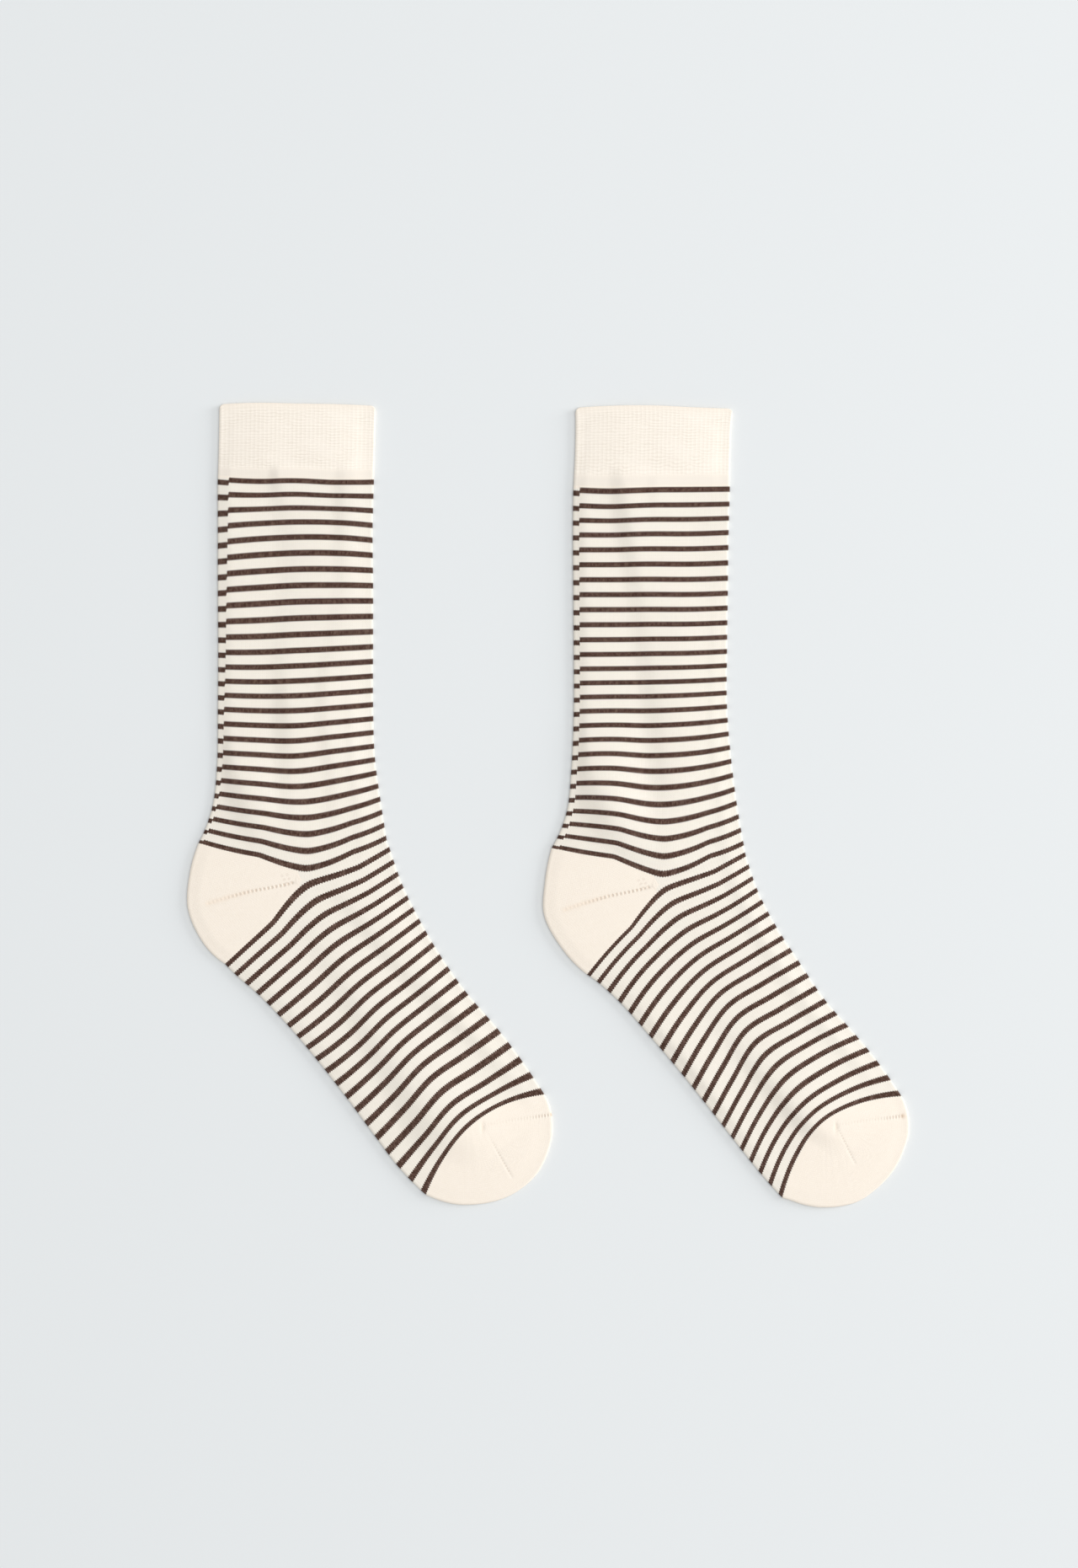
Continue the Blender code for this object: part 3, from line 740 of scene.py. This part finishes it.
def round_rim(piece, sock):
    """Rounds the welt's turned top edge: the wall thins away over its last half thickness."""
    mesh = piece.data
    co = np.zeros((len(mesh.vertices), 3), np.float32)
    mesh.vertices.foreach_get("co", co.ravel())
    outer, inner = np.split(co, 2)
    top = sock.line((0, 1), CUFF_TOP, 400)
    top_y = np.interp(outer[:, 0] / MM, top[:, 0], top[:, 1])
    below = np.clip((top_y - outer[:, 1] / MM) / (CUFF_WALL / 2), 0, 1)
    kept = np.sqrt(np.maximum(1 - (1 - below) ** 2, THINNEST_RIM**2))[:, None]
    middle = (outer + inner) / 2
    co = np.vstack([middle + (outer - middle) * kept, middle + (inner - middle) * kept])
    mesh.vertices.foreach_set("co", co.astype(np.float32).ravel())
    mesh.update()


def cuff(sock):
    lines = round((CUFF_END - CUFF_TOP) * COURSES * CUFF_COURSE_LINES)
    grid, column, line = plan_grid(CUFF_COLUMNS, lines)
    share = column / CUFF_COLUMNS
    row = CUFF_TOP + (CUFF_END - CUFF_TOP) * line / lines
    laid = lay(sock, grid, sock.inset(share, row), row, (column == 0) | (column == CUFF_COLUMNS))
    dug = rib_dips(share, row) * ramp(laid.off, 0, WIDEST_FOLD)
    layers = both_layers(sock, laid, counted_by_share(share, row), dug, dug)
    piece = shell(f"{sock.side}_cuff_knit", layers, CUFF_WALL)
    round_rim(piece, sock)
    return piece


cuff_material = knit_material("cuff_cream_knit", ribbed_cream, stitch_depth=0.08)
for sock in socks:
    finish_piece(cuff(sock), cuff_material)

# Legs and feet.
# Plain knit in ecru and dark brown cotton, four brown courses to every six ecru ones. The brown yarn
# is a little mottled. Where one round ends and the next begins, behind the back edge, the stripes
# jump by two courses. Next to the cuff, the heel and the toe the light yarn is the cream one.

WALL = 1.0
LEG_END = 46.22
LEG_COLUMNS = 60
LEG_ROW = 0.2  # how tall a line of the mesh is, in rows
BESIDE_HEEL_LINES = 10  # lines of the mesh beside the heel
FOLD_COLUMNS = 5  # columns of the mesh on a quarter turn of the fold
GORE_ROW = 26.5
HEEL_REACH = 0.53  # the share of the stitches of one face that the heel takes
ECRU = (0.882, 0.833, 0.748, 1)
ECRU_DEEP = (0.790, 0.732, 0.645, 1)
ECRU_DEEPER = Deeper(0.2, 0.35, 0.25)
BROWN = (0.060, 0.031, 0.022, 1)
BROWN_PALE = (0.190, 0.120, 0.096, 1)
BROWN_PALER = 0.2  # how far the brown turns to its paler shade on the whole
Uneven = namedtuple("Uneven", "stitch cloud fibre")
BROWN_UNEVEN = Uneven(0.75, 0.9, 1.6)  # and how much that varies
TOOTH = 0.8  # how far the legs of a stitch slant, in courses
JUMP_COURSES = 2
JUMP_AT_HEEL = 0.3  # how much of the jump is left at the gore
JUMP_HEEL_ROWS = 2.5  # the rows that a whole jump would take to grow there
JUMP_LAST_ROW = 47.2
JUMP_TOE_ROWS = 2  # how many rows it takes to end there
FOOT_STRIP = -0.06  # where the jump lies on the foot: behind the sole, on the under side
CREAM_ABOVE = 0.9  # the light yarn is the cream one above this row
CREAM_BELOW = 46.3  # and below this one
CREAM_BY_HEEL = 0.4  # and beside the heel, in rows from the gore
CREAM_PAST_HEEL = 0.03  # in shares of the stitches of one face
CREAM_NARROWS = 0.12  # with each row from the gore

# The strip behind the jump: how wide it is at the first stripe and how much less from stripe to stripe,
# as shares of the stitches of one face. A brown stripe shows as a little under four courses, because
# the ecru stitches lap over it.
Stripes = namedtuple("Stripes", "strip_wide strip_narrows dark_courses")
STRIPES = {
    "left": Stripes(0.086, 0.0020, 3.8),
    "right": Stripes(0.053, 0.0002, 3.55),
}


def striped(wale, course, side, stripes):
    """The leg's and foot's yarns: brown stripes on ecru, with cream next to the other pieces."""
    row = course / COURSES
    turn = wale / WALES
    from_gore = abs(row - GORE_ROW)
    on_foot = row > GORE_ROW
    strip = (stripes.strip_wide - row * stripes.strip_narrows) * (1 - on_foot) + on_foot * FOOT_STRIP
    behind = turn < strip
    near_heel = (from_gore / JUMP_HEEL_ROWS + JUMP_AT_HEEL).held()
    near_toe = ((JUMP_LAST_ROW - row) / JUMP_TOE_ROWS).held()
    jump = behind * (turn + 1) / (strip + 1) * near_heel * near_toe * JUMP_COURSES
    turned = course - jump + side * TOOTH
    lead = (stripes.dark_courses - TOOTH) / 2
    dark = ((turned + lead) / COURSES).share() < stripes.dark_courses / COURSES
    heel_end = HEEL_REACH + CREAM_PAST_HEEL - from_gore * CREAM_NARROWS
    by_heel = (from_gore < CREAM_BY_HEEL) * (abs(turn) < heel_end)
    cream = ((row < CREAM_ABOVE) + by_heel + (row > CREAM_BELOW)).held()
    chance = (wale * 2).whole().with_course(turned.whole()).chance()
    place = wale.with_course(course)
    cloud = place.noise(scale=0.35, detail=3)
    fibre = place.noise(scale=2.6, detail=2)
    # The light yarn deepens at random and, as painted shade, in the grooves between wales.
    depth = deeper(ECRU_DEEPER, chance, side, cloud)
    light = cream.mix(depth.mix(ECRU, ECRU_DEEP), depth.mix(CREAM, CREAM_DEEP))
    pale = sum((each - 0.5) * by for each, by in zip((chance, cloud, fibre), BROWN_UNEVEN)) + BROWN_PALER
    return dark.mix(light, pale.held().mix(BROWN, BROWN_PALE)), turned, 0


def column_shares(columns, end=1):
    """The share of the stitches at each column of the mesh, up to the front fold or to a seam."""
    fold = np.linspace(0, FOLD_SHARE, FOLD_COLUMNS, endpoint=False)
    if end < 1:
        return np.concatenate([fold, np.linspace(FOLD_SHARE, end, columns - FOLD_COLUMNS + 1)])
    between = np.linspace(FOLD_SHARE, 1 - FOLD_SHARE, columns - 2 * FOLD_COLUMNS + 1)
    return np.concatenate([fold, between, 1 - fold[::-1]])


def leg_and_foot(sock):
    shares = column_shares(LEG_COLUMNS)
    heel_column = np.abs(shares - HEEL_REACH).argmin()
    shares[heel_column] = HEEL_REACH
    above = np.linspace(CUFF_END, HEEL_START, round((HEEL_START - CUFF_END) / LEG_ROW) + 1)
    beside = np.linspace(HEEL_START, HEEL_END, BESIDE_HEEL_LINES + 1)
    below = np.linspace(HEEL_END, LEG_END, round((LEG_END - HEEL_END) / LEG_ROW) + 1)
    rows = np.concatenate([above, beside[1:-1], below])
    grid, column, line = plan_grid(LEG_COLUMNS, len(rows) - 1)
    share, row = shares[column], rows[line]
    laid = lay(sock, grid, sock.inset(share, row), row, (column == 0) | (column == LEG_COLUMNS))
    layers = both_layers(sock, laid, counted_by_share(share, row))
    heel_opening = (column < heel_column) & (row > HEEL_START) & (row < HEEL_END)
    for mesh in layers:
        bm = bmesh.new()
        bm.from_mesh(mesh)
        bm.verts.ensure_lookup_table()
        bmesh.ops.delete(bm, geom=[bm.verts[k] for k in np.flatnonzero(heel_opening)], context="VERTS")
        bm.to_mesh(mesh)
        bm.free()
    return shell(f"{sock.side}_leg_and_foot_knit", layers, WALL)


for sock in socks:
    stripes = STRIPES[sock.side]
    leg_material = knit_material(
        f"{sock.side}_striped_knit", lambda *counted: striped(*counted, stripes), stitch_depth=0.16
    )
    finish_piece(leg_and_foot(sock), leg_material)

# Heels.
# The cream heel pocket is knitted to and fro on half the needles, in courses that shorten down to the
# gore and then lengthen again. Picking the stitches up again leaves a line of small holes there, from
# the point of the heel towards the back edge, on both faces.

HEEL_COLUMNS = 110
HEEL_LINES = 110
GORE_DENSITY = 0.4  # how far apart the mesh's lines are at the gore, where 1 is even
COURSE_TALL = 0.74
WALE_WIDE = 1.02
GORE_ACROSS = (HEEL_REACH - 0.01, 0.1)  # where the gore starts and ends
GORE_GROOVE = 0.22  # the depth of the shallow groove that the gore lies in
GROOVE_WIDE = 0.9
GROOVE_FADE = (0.02, 0.22)  # where it deepens from nothing, across
FAN_OUT = 130  # how many millimetres a row is tall, for each unit across from the heel's point
HOLE_SPACING = 2.04
HOLE_RADIUS = 0.62
HOLE_DEPTH = 0.6
HOLE_LAST = 0.3  # how deep the last hole of a line is, as a share of the first
HOLE_SHORT = 1.5  # how many times a drawn hole would fit into the spacing
HOLE_CRISP = 1.8  # how sharply its edge is drawn
HOLE_UNEVEN, HOLE_FAINTEST = 1.6, 0.1
HOLE_SUNK = 3  # in stitch depths
GORE_OPEN = 0.42  # how dark the painted shade in the gore's holes is at the heel's point
GORE_CLOSES = (0.5, 0.9)  # and over which part of its length they close
GORE_WARM_SHADE = 0.32  # how strong the painted warm shade beside the gore is
GORE_WARM_SHADE_WIDE = 1.3
GORE_WARM_SHADE_FROM = (0.3, 0.7)  # and over which part of its length that begins
FAN_LINES = [(-1.2, -0.9, -3.6, 3.9), (-3.4, -1.2, -6.0, 3.2)]  # two lines of holes from near the point
FAN_OPEN = 0.4
FAN_CLOSES = 0.05  # how much less with each millimetre
# painted shade inside the holes, where the shaded inside of the sock shows through
CREAM_HOLE_SHADE = (0.560, 0.430, 0.330, 1)
# painted warm shade beside the gore, at the toe seam's end and in the toe's dimple
CREAM_WARM_SHADE = (0.800, 0.640, 0.490, 1)


def counted_from_lines(*lines):
    """Stitch counts for short rows: each face counts its courses away from the nearest of the lines,
    and its wales along that line."""

    def counts(places, corners, upward):
        middles = places[corners].reshape(-1, 4, 2).mean(1)
        nearest = np.full(len(middles), np.inf)
        found = np.zeros((len(middles), 6))
        for line in lines:
            steps = np.diff(line, axis=0)
            lengths = lengths_of(steps)
            begun = np.cumsum(lengths) - lengths
            for k, (start, step) in enumerate(zip(line[:-1], steps / lengths[:, None])):
                t = np.clip((middles - start) @ step, 0, lengths[k])
                off = lengths_of(middles - start - t[:, None] * step)
                closer = off < nearest
                nearest[closer] = off[closer]
                found[closer, 0:5] = (*start, *step, begun[k])
                found[closer, 5] = np.sign(cross(step, middles - start))[closer]
        found = np.repeat(found, 4, axis=0)
        near, along = places[corners] - found[:, 0:2], found[:, 2:4]
        wales = found[:, 4] + (near * along).sum(1)
        courses = cross(along, near) * found[:, 5]
        return np.column_stack([wales / WALE_WIDE, courses / COURSE_TALL])

    return counts


def holes_along(places, line, spacing, radius):
    """1 in the middle of each small hole along a line, less towards its end, and 0 between them."""
    lengths = np.concatenate([[0], np.cumsum(lengths_of(np.diff(line, axis=0)))])
    dug = np.zeros(len(places))
    for along in np.arange(spacing / 2, lengths[-1], spacing):
        middle = np.array([np.interp(along, lengths, line[:, 0]), np.interp(along, lengths, line[:, 1])])
        off = lengths_of((places - middle) / radius)
        dug = np.maximum(dug, mound(off) * (1 - (1 - HOLE_LAST) * ramp(along, 0, lengths[-1])))
    return dug


def beside_lines(places, lines):
    """The number of the line nearest each place, how far along it that is, and how far off."""
    number, along, off = np.zeros(len(places), int), np.zeros(len(places)), np.full(len(places), np.inf)
    for n, line in enumerate(lines):
        begun = 0
        for start, step in zip(line[:-1], np.diff(line, axis=0)):
            length = np.linalg.norm(step)
            t = np.clip((places - start) @ step / length**2, 0, 1)
            this_off = lengths_of(places - start - t[:, None] * step)
            closer = this_off < off
            number[closer], off[closer], along[closer] = n, this_off[closer], (begun + t * length)[closer]
            begun += length
    return number, along, off


def mark_holes(layers, across_holes, off_line, opened, warm_shade):
    """Counts the holes along a line in a second UV map. It marks how open they are, which sets their
    painted shade and depth, and how much painted warm shade lies on them.
    """
    for mesh in layers:
        add_uv_map(mesh, "holes", np.column_stack([across_holes, off_line])[corners_of(mesh)])
        for name, values in (("opened", opened), ("warm_shade", warm_shade)):
            marks = mesh.attributes.new(name, "FLOAT", "POINT")
            marks.data.foreach_set("value", values.astype(np.float32))


def pocket_cream(wale, course, side):
    """Cream knit with its marked holes drawn as painted shade, and painted warm shade where it is marked.
    """
    colour, turned, _ = plain_cream(wale, course, side)
    holes = wale.node("ShaderNodeUVMap", {"uv_map": "holes"}, {})
    opened = wale.node("ShaderNodeAttribute", {"attribute_name": "opened"}, {}, 2)
    warm_shade = wale.node("ShaderNodeAttribute", {"attribute_name": "warm_shade"}, {}, 2)
    inside = 1 - ((holes.part(0).share() * 2 - 1) * HOLE_SHORT) ** 2 - holes.part(1) ** 2
    uneven = (holes.noise(scale=0.6, detail=2) * HOLE_UNEVEN + HOLE_FAINTEST).held()
    # Where a hole opens, its colour turns to painted shade, and the cloth sinks.
    hole = (inside * HOLE_CRISP).held() * opened * uneven
    return hole.mix(warm_shade.held().mix(colour, CREAM_WARM_SHADE), CREAM_HOLE_SHADE), turned, hole * HOLE_SUNK


def heel(sock):
    grid, column, line = plan_grid(HEEL_COLUMNS, HEEL_LINES)
    share = column_shares(HEEL_COLUMNS, HEEL_REACH)[column]
    even = 2 * line / HEEL_LINES - 1
    row = GORE_ROW + (HEEL_END - HEEL_START) / 2 * (GORE_DENSITY * even + (1 - GORE_DENSITY) * even**3)
    laid = lay(sock, grid, sock.inset(share, row), row, column == 0)
    places, across = laid.places, laid.across
    gore = sock.line(GORE_ACROSS, GORE_ROW, 60)
    groove_off = (row - GORE_ROW) * FAN_OUT * (KINK_AT - across)
    dug = HOLE_DEPTH * holes_along(places, gore, HOLE_SPACING, HOLE_RADIUS)
    dug += GORE_GROOVE * mound(groove_off / GROOVE_WIDE) * ramp(across, *GROOVE_FADE)
    counts = counted_from_lines(sock.line((0, 1), HEEL_START, 160), sock.line((0, 1), HEEL_END, 160))
    layers = both_layers(sock, laid, counts, dug, dug * ramp(laid.off, 0, WIDEST_FOLD))

    fans = [gore[0] + np.reshape(ends, (2, 2)) for ends in FAN_LINES]
    number, along, off_line = beside_lines(places, [gore, *fans])
    far = along / lengths_of(np.diff(gore, axis=0)).sum()
    opened = np.where(number == 0, GORE_OPEN * (1 - ramp(far, *GORE_CLOSES)), FAN_OPEN - FAN_CLOSES * along)
    warm_shade = GORE_WARM_SHADE * mound(off_line / GORE_WARM_SHADE_WIDE) * ramp(far, *GORE_WARM_SHADE_FROM) * (number == 0)
    mark_holes(layers, along / HOLE_SPACING, off_line, np.clip(opened, 0, 1), warm_shade)
    return shell(f"{sock.side}_heel_knit", layers, WALL)


pocket_material = knit_material("pocket_cream_knit", pocket_cream, stitch_depth=0.12)
for sock in socks:
    finish_piece(heel(sock), pocket_material)

# Toes.
# The toe cap is a cream pocket knitted like the heel. Its last course is linked to the top of the foot
# stitch by stitch, which leaves a fine dotted seam across the instep side. Where its short rows turn,
# a faint gore runs from the seam's end down to the tip.

TOE_COLUMNS = 136
TOE_LINES = 98
TIP_LINES = 10  # lines of the mesh on the quarter turn at the tip
TIP_INSET = 0.6  # the most that this turn takes up, in rows
TIP_SPLIT = 0.60  # where along the tip the gore meets the outline
# The apex is where the seam and the gore meet, and the other two are their far ends.
ToeSeams = namedtuple("ToeSeams", "apex_x apex_y seam_x seam_y gore_x gore_y")
TOE_SEAMS = {
    "left": ToeSeams(93.0, -358.9, 127.6, -353.9, 107.7, -385.4),
    "right": ToeSeams(91.9, -357.5, 125.5, -353.3, 101.6, -377.2),
}
SEAM_HOLE_SPACING = 1.5
SEAM_HOLE_RADII = np.array([0.5, 1.1])  # in x, about along the seam, and in y
SEAM_HOLE_DEPTH = 0.4
# How open the seam's and the gore's holes are sets how strong their painted shade is.
SEAM_OPEN, SEAM_CLOSES, SEAM_STILL_OPEN = 0.36, (5, 13), 0.06
TOE_GORE_RADIUS = 0.6
TOE_GORE_DEPTH = 0.25
TOE_GORE_OPEN, TOE_GORE_OPENS, TOE_GORE_CLOSES, TOE_GORE_STILL_OPEN = 0.24, (0, 4), (14, 23), 0.03
TOE_GORE_HOLE_LONG = 0.6  # how long its drawn holes are, as a share of the seam's
DIMPLE_FROM_APEX = (0.0, -1.2)  # a small dimple where the seam and the gore meet
DIMPLE_RADII = np.array([0.8, 2.8])  # in x and in y
DIMPLE_DEPTH = 0.35
DIMPLE_SHADE = 0.35
DIMPLE_SHADE_TIGHT = 1.3  # how much smaller the painted shade is than the dimple
UNDER_DENTS = 0.5  # how much of the dents shows in the under layer
# painted shade at the seam's end
SEAM_END_RADIUS = 1.1
SEAM_END_SHADE = 0.9


def counted_round_toe(sock, seam_end, apex):
    """Stitch counts for the toe cap: its wales run beside the outline, from the sole to the gore and
    back up to the seam. Past the seam lie the last courses of the foot."""
    sole = [sock.line(0, (TOE_START, TOE_TIP), 30), sock.line((0, TIP_SPLIT), TOE_TIP, 50)[1:]]
    instep = [sock.line((TIP_SPLIT, 1), TOE_TIP, 40), sock.line(1, (TOE_TIP, TOE_START), 30)[1:]]
    beside_outline = counted_from_lines(np.vstack(sole), np.vstack(instep))
    from_foot = counted_from_lines(sock.line((0, 1), TOE_START, 160))

    def counts(places, corners, upward):
        along, inwards = (beside_outline(places, corners, upward) * [WALE_WIDE, COURSE_TALL]).T
        on_cap = np.column_stack([inwards / WALE_WIDE, along / COURSE_TALL])
        past = places[corners].reshape(-1, 4, 2).mean(1) - apex
        foot_side = np.repeat((cross(seam_end - apex, past) > 0) & (past[:, 0] > 0), 4)
        return np.where(foot_side[:, None], from_foot(places, corners, upward), on_cap)

    return counts


def toe(sock):
    grid, column, line = plan_grid(TOE_COLUMNS, TOE_LINES)
    share = column_shares(TOE_COLUMNS)[column]
    across = sock.inset(share, LEG_END + (TOE_TIP - LEG_END) * line / TOE_LINES)
    by_across, by_row = sock.slopes(across, np.full(len(across), TOE_TIP - DERIVATIVE_STEP))
    reach = fold_reach(by_row, by_across, TIP_INSET)
    from_tip = TOE_LINES - line
    body = LEG_END + (TOE_TIP - reach - LEG_END) * line / (TOE_LINES - TIP_LINES)
    row = np.where(from_tip < TIP_LINES, TOE_TIP - reach * quarter_turn(from_tip / TIP_LINES), body)
    on_fold = (column == 0) | (column == TOE_COLUMNS) | (line == TOE_LINES)
    laid = lay(sock, grid, across, row, on_fold)
    places = laid.places
    apex, seam_end, gore_end = sock.place + np.reshape(TOE_SEAMS[sock.side], (3, 2))
    steps = np.linspace(0, 1, 30)[:, None]
    seam = seam_end + (apex - seam_end) * steps
    gore = gore_end + (apex - gore_end) * steps
    dimple = lengths_of((places - apex - DIMPLE_FROM_APEX) / DIMPLE_RADII)
    dug = SEAM_HOLE_DEPTH * holes_along(places, seam, SEAM_HOLE_SPACING, SEAM_HOLE_RADII)
    dug += TOE_GORE_DEPTH * holes_along(places, gore, SEAM_HOLE_SPACING, TOE_GORE_RADIUS)
    dug += DIMPLE_DEPTH * mound(dimple)
    counts = counted_round_toe(sock, seam_end, apex)
    layers = both_layers(sock, laid, counts, dug, UNDER_DENTS * dug * ramp(laid.off, 0, WIDEST_FOLD))

    number, along, off_line = beside_lines(places, [seam, gore])
    on_seam = SEAM_OPEN * (1 - ramp(along, *SEAM_CLOSES)) + SEAM_STILL_OPEN
    on_gore = TOE_GORE_OPEN * ramp(along, *TOE_GORE_OPENS) * (1 - ramp(along, *TOE_GORE_CLOSES))
    opened = np.where(number == 0, on_seam, on_gore + TOE_GORE_STILL_OPEN)
    # Painted shade at the seam's end and in the dimple.
    warm_shade = SEAM_END_SHADE * mound(lengths_of(places - seam_end) / SEAM_END_RADIUS)
    warm_shade += DIMPLE_SHADE * mound(dimple * DIMPLE_SHADE_TIGHT)
    long = np.where(number == 0, 1.0, TOE_GORE_HOLE_LONG)
    mark_holes(layers, along / SEAM_HOLE_SPACING, off_line / long, opened, warm_shade)
    return shell(f"{sock.side}_toe_knit", layers, WALL)


for sock in socks:
    finish_piece(toe(sock), pocket_material)

# Surface, light and camera.
# The socks lie on a plain pale surface. A broad soft light stands off to the right, and the whole room
# is bright, so that the only shadows are soft ones along the left edges. The camera looks straight down.

FLOOR_REACH = 4.0
ROOM_LIGHT = 0.545
FRAME_TALL = 0.7816  # the height of what the camera sees
FRAME_MIDDLE = (-0.0046, 0.0107)
CAMERA_HEIGHT = 1.8
SENSOR_WIDE = 36

floor_material = bpy.data.materials.new("pale_surface")
floor_material.use_nodes = True
paint = floor_material.node_tree.nodes["Principled BSDF"]
paint.inputs["Base Color"].default_value = (0.752, 0.777, 0.787, 1)
paint.inputs["Roughness"].default_value = 0.9
paint.inputs["Specular IOR Level"].default_value = 0.1
bm = bmesh.new()
bmesh.ops.create_grid(bm, x_segments=1, y_segments=1, size=FLOOR_REACH)
floor_mesh = bpy.data.meshes.new("floor")
bm.to_mesh(floor_mesh)
bm.free()
floor_mesh.materials.append(floor_material)
floor = add_object("floor", floor_mesh)

world = bpy.data.worlds.new("room")
bpy.context.scene.world = world
world.use_nodes = True
world.node_tree.nodes["Background"].inputs["Color"].default_value = (1, 1, 1, 1)
world.node_tree.nodes["Background"].inputs["Strength"].default_value = ROOM_LIGHT

# Each window faces the socks. Its azimuth and elevation are where it stands, in degrees.
Window = namedtuple("Window", "name distance size azimuth elevation power")
WINDOWS = [
    Window("low_window", 5.0, 2.4, 14, 16.5, 144),
    Window("high_window", 4.5, 3.5, 8, 74, 94),
]
for each in WINDOWS:
    light = bpy.data.lights.new(each.name, "AREA")
    light.shape = "SQUARE"
    light.size = each.size
    light.energy = each.power
    window = add_object(each.name, light)
    azimuth, elevation = math.radians(each.azimuth), math.radians(each.elevation)
    level = math.cos(elevation)
    towards = (level * math.cos(azimuth), level * math.sin(azimuth), math.sin(elevation))
    window.location = [each.distance * part for part in towards]
    window.rotation_euler = (0, math.pi / 2 - elevation, azimuth)

camera_data = bpy.data.cameras.new("camera")
camera_data.sensor_fit = "AUTO"
camera_data.sensor_width = SENSOR_WIDE
camera_data.lens = SENSOR_WIDE * CAMERA_HEIGHT / FRAME_TALL
camera = add_object("camera", camera_data)
camera.location = (*FRAME_MIDDLE, CAMERA_HEIGHT)
bpy.context.scene.camera = camera
bpy.context.scene.view_settings.view_transform = "Standard"

bpy.context.view_layer.update()
